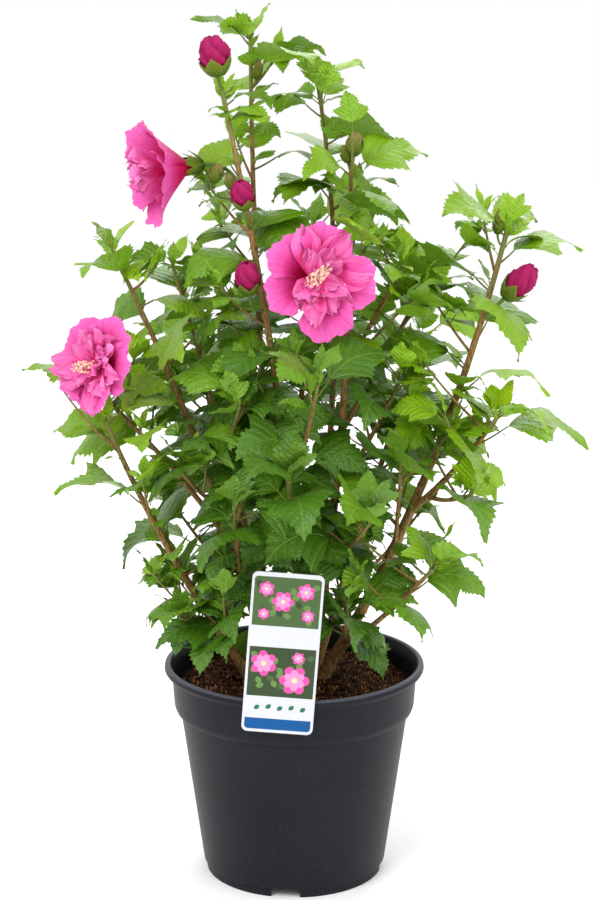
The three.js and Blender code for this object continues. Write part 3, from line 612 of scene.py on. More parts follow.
BOUGHS = {
    "left_fork": dict(
        parent="left", height=292, knee=(-98, -18, 364), tip=(-168, -26, 434), girth=(2.7, 1.6), leafy=368),
    "right_fork": dict(
        parent="right", height=322, knee=(138, -30, 362), tip=(167, -50, 412), girth=(3.1, 1.8), leafy=366),
    "right_low": dict(
        parent="right", height=195, knee=(72, -40, 232), tip=(114, -86, 293), girth=(2.8, 1.7), leafy=240),
    "centre_high": dict(
        parent="centre", height=449, knee=(68, 4, 484), tip=(92, 20, 532), girth=(2.2, 1.5), leafy=492),
    "centre_fork": dict(
        parent="centre", height=394, knee=(76, 16, 444), tip=(113, 50, 512), girth=(2.5, 1.6), leafy=460),
}
STOCK_CENTRE = np.array([-4.0, 0.0])
STOCK_ROWS = [                           # height above its foot, and radius
    (0, 24), (3, 23), (8, 20.5), (12, 19.2), (18, 17.2), (24, 15.9), (31, 15), (38, 13.8), (44, 9.3),
    (46, 0.5),
]
STOCK_SIDES, STOCK_LOBES, STOCK_LOBING, STOCK_SUNK = 60, 5, 0.1, 1.5
FLARE, FLARE_HEIGHT = 0.45, 9
SCAR_SPACING = 21.0
BARK_TAN = (0.330, 0.190, 0.062)
BARK_DARK = (0.120, 0.064, 0.024)
BARK_PORE = (0.50, 0.37, 0.20)
BARK_YOUNG = (0.17, 0.20, 0.055)


class Route:
    """A limb's route: a curve that bends once, from a start by a knee to a tip."""

    def __init__(self, start, knee, tip):
        self.start, self.knee, self.tip = (np.array(p, float) for p in (start, knee, tip))

    def at(self, share):
        """The points at shares of the way."""
        share = np.asarray(share, float)[..., None]
        return (1 - share) ** 2 * self.start + 2 * share * (1 - share) * self.knee + share ** 2 * self.tip

    def way(self, share):
        """The directions at shares of the way."""
        share = np.asarray(share, float)[..., None]
        way = (1 - share) * (self.knee - self.start) + share * (self.tip - self.knee)
        return way / np.linalg.norm(way, axis=-1, keepdims=True)

    def length(self):
        return np.linalg.norm(np.diff(self.at(np.linspace(0, 1, 41)), axis=0), axis=1).sum()

    def share_at(self, height):
        """The share of the way at which it reaches a height."""
        low, high = 0.0, 1.0
        for _ in range(30):
            middle = (low + high) / 2
            if self.at(middle)[2] < height:
                low = middle
            else:
                high = middle
        return low


def tube(bundle, route, first, last, radius, sides, steps, kind=0, age=(0.0, 1.0), uneven=None):
    """A round limb along part of a route. Its marks run round it and from its old to its young end."""
    shares = np.linspace(first, last, steps + 1)
    ways = route.way(shares)
    side = np.cross(ways, (0.13, 0.97, 0.21))
    side /= np.linalg.norm(side, axis=1, keepdims=True)
    other = np.cross(ways, side)
    angles = np.arange(sides) * 2 * math.pi / sides
    reach = radius(shares)[:, None] * np.ones(sides)
    if uneven is not None:
        reach = reach * uneven(shares, angles)
    points = route.at(shares)[:, None, :] + reach[..., None] * (
        np.cos(angles)[None, :, None] * side[:, None, :] + np.sin(angles)[None, :, None] * other[:, None, :])
    ends = [points[:1] * 0.02 + route.at(shares[:1])[:, None, :] * 0.98, points,
            points[-1:] * 0.02 + route.at(shares[-1:])[:, None, :] * 0.98]
    marks = np.zeros((steps + 3, sides, 2))
    marks[..., 0] = np.abs(np.arange(sides) / sides * 2 - 1)
    marks[..., 1] = np.interp(np.arange(steps + 3) - 1, [0, steps], age)[:, None]
    bundle.grid(np.concatenate(ends), marks, kind, closed=True)


def bark_relief(route, seed, depth=0.07):
    """Low ridges along a limb, and a swollen ring at each old leaf scar."""
    rng = np.random.default_rng(seed)
    phases = rng.uniform(0, 2 * math.pi, 6)
    length = route.length()

    def uneven(shares, angles):
        down = shares[:, None] * length
        ridges = sum(np.sin(k * angles[None, :] + phases[k] + 0.03 * down * (k - 2)) / k for k in (2, 3, 5))
        scars = np.exp(-(((down / SCAR_SPACING + 0.5) % 1 - 0.5) / 0.075) ** 2)
        sided = 0.5 + 0.5 * np.cos(angles[None, :] - 2.4 * np.floor(down / SCAR_SPACING + 0.5))
        return 1 + depth * 0.6 * ridges + 0.17 * scars * sided
    return uneven


limbs = {}
for name, row in {**STEMS, **BOUGHS}.items():
    if name in STEMS:
        start = (*row["foot"], GROUND - BELOW)
    else:
        parent = limbs[row["parent"]]["route"]
        start = parent.at(parent.share_at(row["height"]))
    route = Route(start, row["knee"], row["tip"])
    thick, thin = row["girth"]

    def radius(shares, route=route, thick=thick, thin=thin, flared=name in STEMS):
        rise = np.maximum(0, route.at(shares)[..., 2] - GROUND)
        flare = FLARE * np.exp(-rise / FLARE_HEIGHT) if flared else 0
        return (thin + (thick - thin) * (1 - shares)) * (1 + flare)
    limbs[name] = dict(route=route, radius=radius, leafy=route.share_at(row["leafy"]))

wood = Bundle()
for index, limb in enumerate(limbs.values()):
    steps = int(limb["route"].length() * limb["leafy"] / RING_SPACING)
    tube(wood, limb["route"], 0, limb["leafy"], limb["radius"], LIMB_SIDES, steps, 0,
         (0, OLD_WOOD * limb["leafy"]), bark_relief(limb["route"], index))
rng = np.random.default_rng(9)
angles = np.linspace(0, 2 * math.pi, STOCK_SIDES, endpoint=False)
fine = 1 + 0.035 * np.sin(17 * angles + rng.uniform(0, 6)) + 0.03 * np.sin(29 * angles)
rows = []
for rise, reach in STOCK_ROWS:
    lobing = 1 + STOCK_LOBING * np.cos(STOCK_LOBES * angles) * (1 - rise / STOCK_ROWS[-1][0])
    ring = reach * lobing * fine
    rows.append(np.stack([
        STOCK_CENTRE[0] + ring * np.cos(angles), STOCK_CENTRE[1] + ring * np.sin(angles),
        np.full(len(angles), GROUND - STOCK_SUNK + rise),
    ], -1))
stock_marks = np.zeros((len(rows), len(angles), 2))
stock_marks[..., 0] = np.abs(np.arange(STOCK_SIDES) * 2 / STOCK_SIDES - 1)
wood.grid(np.array(rows), stock_marks, 0, closed=True)

bark_group, given, out = new_group("bark_tone", {
    "Vector": ("NodeSocketVector", None), "Age": ("NodeSocketFloat", 0.0),
    "Old": ("NodeSocketColor", (*BARK_TAN, 1)), "Crack": ("NodeSocketColor", (*BARK_DARK, 1)),
    "Young": ("NodeSocketColor", (*BARK_YOUNG, 1)),
}, {"Colour": "NodeSocketColor", "Height": "NodeSocketFloat"})
stretched = node(bark_group, "ShaderNodeMapping", {"Vector": given["Vector"], "Scale": (900, 900, 150)})
cracks = node(bark_group, "ShaderNodeTexNoise", {"Vector": stretched.outputs[0], "Scale": 1.0, "Detail": 4.0})
crack = mapped(bark_group, cracks.outputs["Fac"], 0.38, 0.58)
pores = node(bark_group, "ShaderNodeTexVoronoi", {"Vector": given["Vector"], "Scale": 520.0})
pore = mapped(bark_group, pores.outputs["Distance"], 0.12, 0.24, 1.0, 0.0)
old = blended(bark_group, crack, given["Crack"], given["Old"])
spotted = blended(bark_group, reckoned(bark_group, "MULTIPLY", pore, 0.35), old, (*BARK_PORE, 1))
green = mapped(bark_group, given["Age"], 0.78, 1.0)
bark_group.links.new(blended(bark_group, green, spotted, given["Young"]), out["Colour"])
bark_group.links.new(cracks.outputs["Fac"], out["Height"])

bark, tree, shader, place = finish_of("bark", 0.72, 0.15)
run = node(tree, "ShaderNodeSeparateXYZ", {"Vector": place["UV"]}).outputs
toned = filled(tree, bark_group, {"Vector": place["Object"], "Age": run["Y"]})
tree.links.new(toned["Colour"], shader.inputs["Base Color"])
rough = node(tree, "ShaderNodeBump", {"Height": toned["Height"], "Distance": 0.0006, "Strength": 1.0})
tree.links.new(rough.outputs["Normal"], shader.inputs["Normal"])
wood_nodes = ["stock"] + [("stem_" if name in STEMS else "bough_") + name for name in limbs]
wood.piece("bark_limbs", [bark], "bark", wood_nodes)

# ------------------------------------------------------------------ foliage
# Every leafy shoot carries three-lobed, coarsely toothed leaves on thin stalks, set a golden turn
# apart. They arch out and hang their tips; tufts of young leaves stand in the axils and at the tips.

LEADERS = {
    "left_low": dict(nodes=8, leaf=66, face=0, seed=3941),
    "left": dict(nodes=9, leaf=57, face=90, seed=2477),
    "left_back": dict(nodes=8, leaf=55, face=205, seed=953),
    "flowering": dict(nodes=11, leaf=59, face=225, seed=8733, top=0.8, fan=0),
    "tall": dict(nodes=11, leaf=64, face=180, seed=226),
    "mid_back": dict(nodes=10, leaf=62, face=45, seed=7381),
    "centre": dict(nodes=9, leaf=71, face=25, seed=9959, top=0.6, fan=0),
    "right": dict(nodes=10, leaf=66, face=-135, seed=1133),
    "back_left": dict(nodes=9, leaf=69, face=185, seed=2055),
    "back": dict(nodes=10, leaf=64, face=0, seed=9517),
    "back_right": dict(nodes=9, leaf=64, face=-5, seed=3741),
    "left_fork": dict(nodes=6, leaf=68, face=180, seed=9154),
    "right_fork": dict(nodes=6, leaf=68, face=-45, seed=3025),
    "right_low": dict(nodes=6, leaf=64, face=-55, seed=9498),
    "centre_high": dict(nodes=5, leaf=55, face=30, seed=1920),
    "centre_fork": dict(nodes=6, leaf=64, face=125, seed=2770),
}
SIDE_SHOOTS = {                          # parent, height on it, tip, nodes, leaf length, face, seed
    "low_left": ("left_low", 226, (-96, -48, 240), 5, 55, 245, 3472),
    "front_low_left": ("left_low", 200, (-58, -84, 268), 6, 64, 230, 3947),
    "front_left": ("left", 262, (-48, -112, 352), 7, 67, 205, 3891),
    "inner_left": ("left", 330, (-92, -70, 372), 6, 61, -15, 8403),
    "centre_left": ("left", 345, (-44, -84, 428), 6, 62, 170, 6069),
    "front_centre": ("flowering", 300, (-4, -132, 378), 7, 69, 225, 3363),
    "front_high": ("flowering", 345, (20, -112, 456), 7, 61, 240, 9092),
    "front_right": ("centre", 285, (62, -112, 340), 7, 66, 245, 8534),
    "centre_right": ("centre", 345, (90, -40, 446), 7, 56, 195, 1540),
    "inner_right": ("right", 292, (88, -66, 380), 6, 61, 165, 8311),
    "front_low_right": ("right", 205, (44, -82, 262), 6, 55, 235, 272),
    "right_tip": ("right_fork", 337, (146, -76, 354), 4, 59, -110, 2153),
    "back_low_left": ("back_left", 232, (-104, 82, 300), 6, 64, 115, 2410),
    "back_low": ("back", 240, (-6, 142, 300), 6, 59, 0, 4564),
    "back_low_right": ("back_right", 232, (112, 84, 298), 6, 62, -70, 2885),
}
GOLDEN, YOUNG_NODES, LEAN, LEAN_FROM = 137.5, 3, 50, 60
LOBED_SHARE, FOLD, WAVE = 0.68, 0.10, 0.032
YOUNG_UNDER, NARROW_UNDER, STURDY_OVER = 26, 30, 40  # leaf lengths at which its form changes
BLADE_OUTLINES = {                       # share of the length and half width there, from foot to tip
    "lobed": [
        (0, .03), (.03, .16), (.08, .29), (.10, .265), (.16, .37), (.18, .34), (.24, .43), (.26, .40),
        (.33, .485), (.35, .44), (.41, .465), (.43, .36), (.47, .27), (.50, .215), (.555, .265),
        (.575, .215), (.635, .24), (.655, .185), (.71, .195), (.73, .145), (.785, .145), (.805, .10),
        (.87, .09), (.885, .055), (1, .004)],
    "broad": [
        (0, .03), (.04, .15), (.09, .25), (.11, .225), (.17, .33), (.19, .30), (.26, .385), (.28, .35),
        (.35, .42), (.37, .37), (.43, .385), (.45, .32), (.51, .32), (.53, .26), (.60, .265), (.62, .205),
        (.69, .20), (.71, .15), (.78, .14), (.80, .095), (.88, .08), (.895, .045), (1, .004)],
    "young": [
        (0, .02), (.08, .10), (.20, .17), (.23, .15), (.34, .21), (.37, .17), (.48, .19), (.51, .14),
        (.62, .145), (.65, .10), (.78, .085), (.80, .05), (1, .004)],
}
BLADE_COLUMNS = np.array([-1.0, -0.55, 0.0, 0.55, 1.0])
SMALL_COLUMNS = np.array([-1.0, 0.0, 1.0])
# The five blade tones, deep to young, are dealt out by tone_of: partly by a leaf's youth, partly as painted
# light and shade.
LEAF_TONES = {                           # blade, patch, vein and underside
    "leaf_deep": (
        (0.045, 0.128, 0.004), (0.064, 0.168, 0.007), (0.150, 0.290, 0.030), (0.105, 0.215, 0.020)),
    "leaf_mid": (
        (0.088, 0.208, 0.003), (0.117, 0.258, 0.005), (0.215, 0.390, 0.035), (0.138, 0.280, 0.020)),
    "leaf_fresh": (
        (0.152, 0.302, 0.003), (0.190, 0.357, 0.005), (0.280, 0.480, 0.040), (0.180, 0.355, 0.020)),
    "leaf_light": (
        (0.222, 0.402, 0.003), (0.262, 0.452, 0.006), (0.350, 0.560, 0.045), (0.240, 0.440, 0.024)),
    "leaf_young": (
        (0.292, 0.472, 0.004), (0.332, 0.512, 0.008), (0.420, 0.620, 0.060), (0.300, 0.500, 0.028)),
    "leaf_stalk": (
        (0.200, 0.245, 0.030), (0.255, 0.285, 0.050), (0.24, 0.27, 0.06), (0.17, 0.22, 0.04)),
}
# Strength of the painted glow on leaf undersides.
LEAF_PAINTED_GLOW = 0.12
SKIRTS = {                               # leaves that hang from the bare foot of a side shoot
    "front_low_left": 4, "front_left": 6, "front_centre": 9, "front_right": 6, "front_low_right": 4,
    "low_left": 2, "back_low": 4, "centre_left": 2,
}
UP = np.array([0.0, 0.0, 1.0])


def draws(seed):
    """The plant's own draw of random numbers, the same for the same seed."""
    state = (seed * 2654435761) & 0xFFFFFFFF

    def draw():
        nonlocal state
        state = (state * 1664525 + 1013904223) & 0xFFFFFFFF
        return state / 4294967296
    return draw


def outward_roll(point, compass):
    """How far a blade rolls to face away from the middle of the shrub, in radians."""
    across = point[:2] - STOCK_CENTRE
    reach = min(1.0, math.hypot(*across) / LEAN_FROM)
    return math.radians(LEAN) * reach * math.sin(math.atan2(across[1], across[0]) - compass)


def leaves_of(route, first, nodes, leaf, face, fan, draw, top=0.25):
    """The leaves of one twig from its tip down, then the small upright ones at its tip."""
    leaves = []
    for place in range(nodes):
        youth = max(0.0, 1 - place / YOUNG_NODES)
        length = leaf * (1 - 0.16 * youth) * (0.84 + 0.32 * draw())
        root = route.at(1 - (1 - first) * (place + top) / nodes)
        compass = math.radians(face + GOLDEN * place + 30 * (draw() - 0.5))
        lift = math.radians(36 + 6 * youth + 24 * (draw() - 0.5))
        droop = math.radians(96 - 16 * youth) * (0.75 + 0.5 * draw())
        stalk = length * (0.2 + 0.2 * draw())
        roll = outward_roll(root, compass) + math.radians(36 * (draw() - 0.5))
        leaves.append(dict(root=root, compass=compass, lift=lift, droop=droop, stalk=stalk, length=length,
                           roll=roll, youth=youth))
    for place in range(fan):
        length = leaf * (0.42 + 0.14 * draw())
        compass = math.radians(face + 60 + 150 * place + 30 * (draw() - 0.5))
        lift = math.radians(68 + 14 * (draw() - 0.5))
        roll = math.radians(30 * (draw() - 0.5))
        leaves.append(dict(root=route.at(0.995), compass=compass, lift=lift, droop=math.radians(24),
                           stalk=length * 0.25, length=length, roll=roll, youth=1.3))
    return leaves


def growth(route, first, nodes, leaf, face, seed, top=0.25, fan=2):
    """A mass: its main twig and side twigs, each with its leaves, by the shrub's one rule."""
    draw = draws(seed)
    twigs = [dict(route=route, leaves=leaves_of(route, first, nodes, leaf, face, fan, draw, top))]
    for place in range(1, nodes, 3):
        start = route.at(1 - (1 - first) * (place + 0.6) / nodes)
        around = face + GOLDEN * place
        compass = math.radians(around + 70 + 40 * draw())
        reach = leaf * (0.5 + 0.3 * draw())
        rise = reach * (0.7 + 0.5 * draw())
        tip = start + (reach * math.cos(compass), reach * math.sin(compass), rise)
        knee = start + (tip - start) * 0.55 - UP * 0.12 * reach
        side = Route(start, knee, tip)
        leaves = leaves_of(side, 0.35, 1, 0.8 * leaf, around + 40, 1, draw)
        twigs.append(dict(route=side, side=True, leaves=leaves))
    return twigs


def finer(twigs, leaf, first, nodes, seed, skirt):
    """What grows beside the main leaves: a leaf between nodes, tufts in the axils and at the tips."""
    rng = np.random.default_rng(seed)
    more = []

    def small(root, compass, size, lift, youth, droop=60):
        length = leaf * size
        more.append(dict(
            root=root, compass=compass, lift=math.radians(lift), droop=math.radians(droop), youth=youth,
            stalk=length * rng.uniform(0.12, 0.3), length=length, small=True,
            roll=0.7 * outward_roll(root, compass) + math.radians(rng.uniform(-25, 25))))

    for twig in twigs:
        main = [item for item in twig["leaves"] if item["youth"] <= 1.0]
        for item in main:
            for _ in range(rng.integers(0, 3)):
                compass = item["compass"] + math.radians(rng.uniform(-75, 75))
                small(item["root"] + UP * rng.uniform(1, 6), compass, rng.uniform(0.26, 0.48),
                      rng.uniform(30, 68), item["youth"] + 0.45, rng.uniform(40, 80))
        if "side" in twig:
            for place in range(2):
                share = rng.uniform(0.45, 0.95)
                small(twig["route"].at(share), rng.uniform(0, 6.28), rng.uniform(0.45, 0.72),
                      rng.uniform(20, 55), 0.4, rng.uniform(60, 100))
        else:
            for place in range(0, nodes - 1, 3):
                share = 1 - (1 - first) * (place + 0.75) / nodes
                compass = main[place]["compass"] + math.radians(180 + rng.uniform(-50, 50))
                size = rng.uniform(0.45, 0.75)
                small(twig["route"].at(share), compass, size, rng.uniform(22, 50),
                      0.25 + 0.5 * (place < 2), rng.uniform(70, 110))
        if skirt and "side" not in twig:
            for place in range(skirt):
                small(twig["route"].at(rng.uniform(0.05, 0.5)), rng.uniform(0, 6.28),
                      rng.uniform(0.6, 0.9), rng.uniform(0, 30), 0.1, rng.uniform(80, 110))
        tip = twig["route"].at(0.99)
        for place in range(rng.integers(3, 6)):
            small(tip - UP * rng.uniform(0, 4), rng.uniform(0, 6.28), rng.uniform(0.22, 0.42),
                  rng.uniform(48, 82), 1.4, rng.uniform(20, 60))
    return more


FLOWER_ZONES = []                        # centre, the way it looks and radius: kept free of leaves
EYE = np.array(camera.location) / MM
STEMS_IN_VIEW = {                        # heights between which a stem shows among the leaves
    "left_low": (215, 395), "left": (270, 330), "left_fork": (340, 425), "flowering": (400, 665),
    "centre": (330, 440), "right": (220, 540), "right_fork": (335, 400), "tall": (560, 690),
}
SHOWING = 0.75                           # share of the leaves before them that are left out
SHOWING_SPACING = 4
WALL_IN, WALL_OUT, WALL_TOP = 98, 114, 189   # the ring about the pot's rim that leaves keep out of
SOIL_RADIUS, SOIL_TOP = 102, 170.5
CARD_HALF, CARD_BACK, CARD_LOW, CARD_HIGH, CARD_SLOPE = 33, -108, 158, 300, 0.077
BEFORE_FLOWER = 70                       # how far before a flower leaves are kept away


def stretch_of(name, low, high):
    """Points along the stretch of a limb between two heights."""
    route = limbs[name]["route"]
    shares = np.linspace(route.share_at(low), route.share_at(high), int((high - low) / SHOWING_SPACING))
    return route.at(shares)


STEM_POINTS = np.concatenate([stretch_of(name, *heights) for name, heights in STEMS_IN_VIEW.items()])


def blocked(points):
    """Whether a leaf would cross the pot, the label or an open flower, or hang before the label."""
    x, y, z = points.T
    out = np.hypot(x, y)
    pot_wall = (out > WALL_IN) & (out < WALL_OUT) & (z < WALL_TOP)
    under = z < np.where(out < SOIL_RADIUS, SOIL_TOP, 0)
    off_card = np.abs(x - CARD_CENTRE[0] - (z - CARD_CENTRE[2]) * CARD_SLOPE)
    card_zone = (off_card < CARD_HALF) & (y < CARD_BACK) & (z < CARD_HIGH) & (z > CARD_LOW)
    if (pot_wall | under | card_zone).any():
        return True
    if (out > WALL_IN).all() and (out < WALL_OUT + 2).all() and (z < WALL_TOP - 2).all():
        return True
    for centre, looks, radius in FLOWER_ZONES:
        away = points - centre
        ahead = away @ looks
        aside = np.linalg.norm(away - ahead[:, None] * looks, axis=1)
        near = aside < radius * (0.96 - 0.2 * (ahead < -4))
        if ((ahead > -0.5 * radius) & (ahead < BEFORE_FLOWER) & near).any():
            return True
    return False


def seen(points):
    """Points as the camera sees them: across and up its picture, as slopes, and their distance."""
    away = points - EYE
    return away[:, 0] / away[:, 1], away[:, 2] / away[:, 1], away[:, 1]


STEM_SPOTS = seen(STEM_POINTS)


def hides_stem(points, base):
    """Whether a blade would hang before one of the stretches of stem that stay in view."""
    rim = np.concatenate([points[:, 0], points[::-1, -1]])
    across, up, far = seen(rim)
    near = (STEM_SPOTS[2] > far.mean() + 2) & (np.linalg.norm(STEM_POINTS - base, axis=1) > 9)
    x, y = STEM_SPOTS[0][near, None], STEM_SPOTS[1][near, None]
    next_across, next_up = np.roll(across, -1), np.roll(up, -1)
    straddles = (up > y) != (next_up > y)
    rise = np.where(next_up == up, 1e-9, next_up - up)
    crossing = straddles & (x < across + (next_across - across) * (y - up) / rise)
    return (crossing.sum(axis=1) % 2).sum() > 1


def hides_flower(points):
    """Whether a leaf's stalk would cross a flower or bud in the same view."""
    across, up, far = seen(points)
    for centre, looks, radius in FLOWER_ZONES:
        x, y, away = (float(value[0]) for value in seen(centre[None]))
        if ((np.hypot(across - x, up - y) < 0.9 * radius / away) & (far < away + radius)).any():
            return True
    return False


def blade(leaf, rng):
    """One leaf: its blade's rows of points with their marks, and the end of its stalk."""
    length = leaf["length"]
    kind = "young" if length < YOUNG_UNDER else ("lobed" if rng.random() < LOBED_SHARE else "broad")
    columns = SMALL_COLUMNS if length < NARROW_UNDER else BLADE_COLUMNS
    outline = np.array(BLADE_OUTLINES[kind])
    along, half = outline[:, 0], outline[:, 1] * rng.uniform(0.90, 1.10)
    out = np.array([math.cos(leaf["compass"]), math.sin(leaf["compass"]), 0])
    side = np.cross(UP, out)
    lift, droop = leaf["lift"], leaf["droop"]
    base = leaf["root"] + leaf["stalk"] * (math.cos(lift) * out + math.sin(lift) * UP)
    bend = length / droop
    angle = (lift - droop * along)[:, None]
    middle = base + bend * ((math.sin(lift) - np.sin(angle)) * out + (np.cos(angle) - math.cos(lift)) * UP)
    upright = UP * np.cos(angle) - out * np.sin(angle)
    twist = leaf["roll"] + rng.uniform(-0.22, 0.22) * along[:, None]
    across = side * np.cos(twist) - upright * np.sin(twist)
    normal = upright * np.cos(twist) + side * np.sin(twist)
    forward = np.gradient(middle, axis=0)
    forward /= np.linalg.norm(forward, axis=1, keepdims=True)
    lopsided = 1 + rng.uniform(-0.10, 0.10) * np.sign(columns)
    wide = half[:, None] * (columns * lopsided)[None, :]
    ahead = np.abs(wide) * rng.uniform(0.14, 0.30)
    cup = rng.uniform(-1.3, 0.3) * wide ** 2
    ripple = along[:, None] * rng.uniform(9, 15) + rng.uniform(0, 6.28) + np.sign(wide)
    wave = WAVE * columns ** 2 * np.sin(ripple)
    fold = FOLD * np.abs(wide)
    points = middle[:, None, :] + length * (
        wide[..., None] * across[:, None, :] + (cup + wave + fold)[..., None] * normal[:, None, :]
        + ahead[..., None] * forward[:, None, :])
    marks = np.stack([0.5 + wide, along[:, None] + ahead], -1)
    return points, marks, base


def tone_of(leaf, place, rng):
    """The colour of a leaf: young ones paler; those out from the middle and high up paler as painted light,
    those in the middle deeper as painted shade.
    """
    # Painted light: it grows with the distance out from the middle and with the height, and is held lower
    # towards the top.
    light = max(0.0, (abs(place[0] - STOCK_CENTRE[0]) - 36) / 88) + max(0.0, (place[2] - 390) / 170)
    light = min(light, 1.75 - 0.6 * min(1.0, max(0.0, (place[2] - 380) / 120)))
    depth = 0.15 + 1.6 * light + (0.35 + 0.5 * light) * leaf["youth"] + rng.uniform(-0.55, 0.55)
    return int(np.clip(np.floor(depth), 0, 4))


# Flowers stand in clear space, so their places are settled before the leaves grow.
BLOOMS = {
    "bloom_high": dict(
        parent="flowering", height=588, centre=(-124, -46, 612), looks=(-0.92, -0.37, -0.10), radius=44,
        depth=46, bell=1.05, half=48, fullness=0.95, steep=32, curl=0.3, pistil=0.25),
    "bloom_front": dict(
        parent="centre", height=500, centre=(16, -84, 531), looks=(-0.02, -0.97, 0.16), radius=50,
        depth=30, half=40, gap=165, column=((0.45, 0.36), (-11, -9), 0.3),
        petals=((-4, 1.0), (72, 0.93), (138, 0.86), (205, 0.82), (288, 1.0))),
    "bloom_left": dict(
        parent="left_fork", height=418, centre=(-163, -76, 462), looks=(-0.66, -0.7, 0.28), radius=43,
        depth=23, half=49, fullness=1.06, column=((0.0, -0.16), (0, 0), 0.55)),
    "bloom_back": dict(
        parent="back", height=455, centre=(34, 184, 486), looks=(0.3, 0.92, 0.16), radius=43, depth=32),
}
for row in BLOOMS.values():
    looks = np.array(row["looks"]) / np.linalg.norm(row["looks"])
    FLOWER_ZONES.append((np.array(row["centre"], float), looks, row["radius"]))
BUDS = {
    "bud_top": dict(parent="flowering", height=668, foot=(-60, -36, 684), top=(-66, -39, 722), radius=15),
    "bud_middle": dict(parent="flowering", height=566, foot=(-39, -56, 581), top=(-43, -64, 609), radius=11),
    "bud_low": dict(parent="flowering", height=500, foot=(-36, -62, 513), top=(-38, -72, 545), radius=12),
    "bud_right": dict(parent="right", height=492, foot=(170, -22, 503), top=(199, -28, 535), radius=13),
    "bud_centre": dict(
        parent="centre", height=612, foot=(49, -8, 624), top=(51, -12, 643), radius=8, green=True),
}
for row in BUDS.values():
    centre = (np.array(row["foot"], float) + row["top"]) / 2
    FLOWER_ZONES.append((centre, np.array([0.0, -1.0, 0.0]), 1.35 * row["radius"]))

large_leaves, small_leaves, twig_wood = Bundle(), Bundle(), Bundle()
shrub_box = (np.array(cad_box[0]) / MM - 9, np.array(cad_box[1]) / MM + 9)
masses = []
for name, row in LEADERS.items():
    limb = limbs[name]
    first = limb["leafy"] + CLEAR / limb["route"].length()
    masses.append((name, limb["route"], first, limb["radius"], row))
for name, (parent, height, tip, nodes, leaf, face, seed) in SIDE_SHOOTS.items():
    route = limbs[parent]["route"]
    start = route.at(route.share_at(height))
    tip = np.array(tip, float)
    knee = start + (tip - start) * 0.5 - UP * 0.12 * np.linalg.norm(tip - start)
    row = dict(nodes=nodes, leaf=leaf, face=face, seed=seed)
    masses.append((name, Route(start, knee, tip), 0.25, lambda share: 2.1 - 0.9 * share, row))

for name, route, first, radius, row in masses:
    twigs = growth(route, first, **row)
    rng = np.random.default_rng(1000 + row["seed"])
    begin = first if name in LEADERS else 0
    tube(twig_wood, route, begin, 1, radius, 10, int(route.length() * (1 - begin) / RING_SPACING), 0,
         (OLD_WOOD * first, 1.0), bark_relief(route, row["seed"], 0.05))
    for twig in twigs[1:]:
        tube(twig_wood, twig["route"], 0, 1, lambda share: 1.35 - 0.55 * share, 6, 12, 0, (0.7, 1.0))
    extra = finer(twigs, row["leaf"], first, row["nodes"], 2000 + row["seed"], SKIRTS.get(name, 0))
    for leaf in [item for twig in twigs for item in twig["leaves"]] + extra:
        points, marks, base = blade(leaf, rng)
        tone = tone_of(leaf, base, rng)
        flat = np.concatenate([points.reshape(-1, 3), [leaf["root"] * 0.35 + base * 0.65]])
        if blocked(flat) or (flat < shrub_box[0]).any() or (flat > shrub_box[1]).any():
            continue
        if rng.random() < SHOWING and hides_stem(points, base):
            continue
        if hides_flower(leaf["root"] + np.linspace(0.35, 1, 6)[:, None] * (base - leaf["root"])):
            continue
        (small_leaves if "small" in leaf else large_leaves).grid(points[:, ::-1], marks[:, ::-1], tone)
        thick = 0.85 if leaf["length"] > STURDY_OVER else 0.55
        stalk = Route(leaf["root"], (leaf["root"] + base) / 2 - UP * 0.06 * leaf["stalk"], base)
        tube(small_leaves, stalk, 0, 1, lambda share: thick * (1.15 - 0.4 * share), 5, 3, 5, (0, 1))

tissue, given, out = new_group("leaf_tissue", {
    "Vector": ("NodeSocketVector", None), "Across": ("NodeSocketFloat", 0.5),
    "Along": ("NodeSocketFloat", 0.0), "Blade": ("NodeSocketColor", None),
    "Patch": ("NodeSocketColor", None), "Vein": ("NodeSocketColor", None),
}, {"Colour": "NodeSocketColor", "Height": "NodeSocketFloat"})
aside = reckoned(tissue, "ABSOLUTE", reckoned(tissue, "SUBTRACT", given["Across"], 0.5))
midrib = mapped(tissue, aside, 0.003, 0.012, 0.9, 0.0)
lobe_line = reckoned(tissue, "MULTIPLY", given["Along"], 0.86)
off_lobe = reckoned(tissue, "ABSOLUTE", reckoned(tissue, "SUBTRACT", aside, lobe_line))
lobe_rib = mapped(tissue, off_lobe, 0.002, 0.011, 0.75, 0.0)
lobes = reckoned(tissue, "MULTIPLY", lobe_rib, mapped(tissue, given["Along"], 0.50, 0.54, 1.0, 0.0))
slanted = reckoned(tissue, "SUBTRACT", given["Along"], reckoned(tissue, "MULTIPLY", aside, 1.1))
phase = reckoned(tissue, "FRACT", reckoned(tissue, "ADD", reckoned(tissue, "MULTIPLY", slanted, 6.2), 8.0))
centred = reckoned(tissue, "ABSOLUTE", reckoned(tissue, "SUBTRACT", phase, 0.5))
rib = mapped(tissue, centred, 0.43, 0.49, 0.0, 0.45)
veins = reckoned(tissue, "MAXIMUM", reckoned(tissue, "MAXIMUM", midrib, lobes), rib)
cells = node(tissue, "ShaderNodeTexVoronoi", {"Vector": given["Vector"], "Scale": 420.0})
quilt = reckoned(tissue, "MULTIPLY", reckoned(tissue, "SUBTRACT", 0.5, centred), 0.9)
pimples = reckoned(tissue, "MULTIPLY", cells.outputs["Distance"], -0.5)
groove = reckoned(tissue, "MULTIPLY", midrib, 0.6)
height = reckoned(tissue, "SUBTRACT", reckoned(tissue, "ADD", quilt, pimples), groove)
spread = filled(tissue, mottle, {
    "Vector": given["Vector"], "Scale": 75.0, "Sharp": 0.2, "First": given["Blade"], "Second": given["Patch"],
})
vein_share = reckoned(tissue, "MULTIPLY", veins, 0.85)
tissue.links.new(blended(tissue, vein_share, spread["Colour"], given["Vein"]), out["Colour"])
tissue.links.new(height, out["Height"])

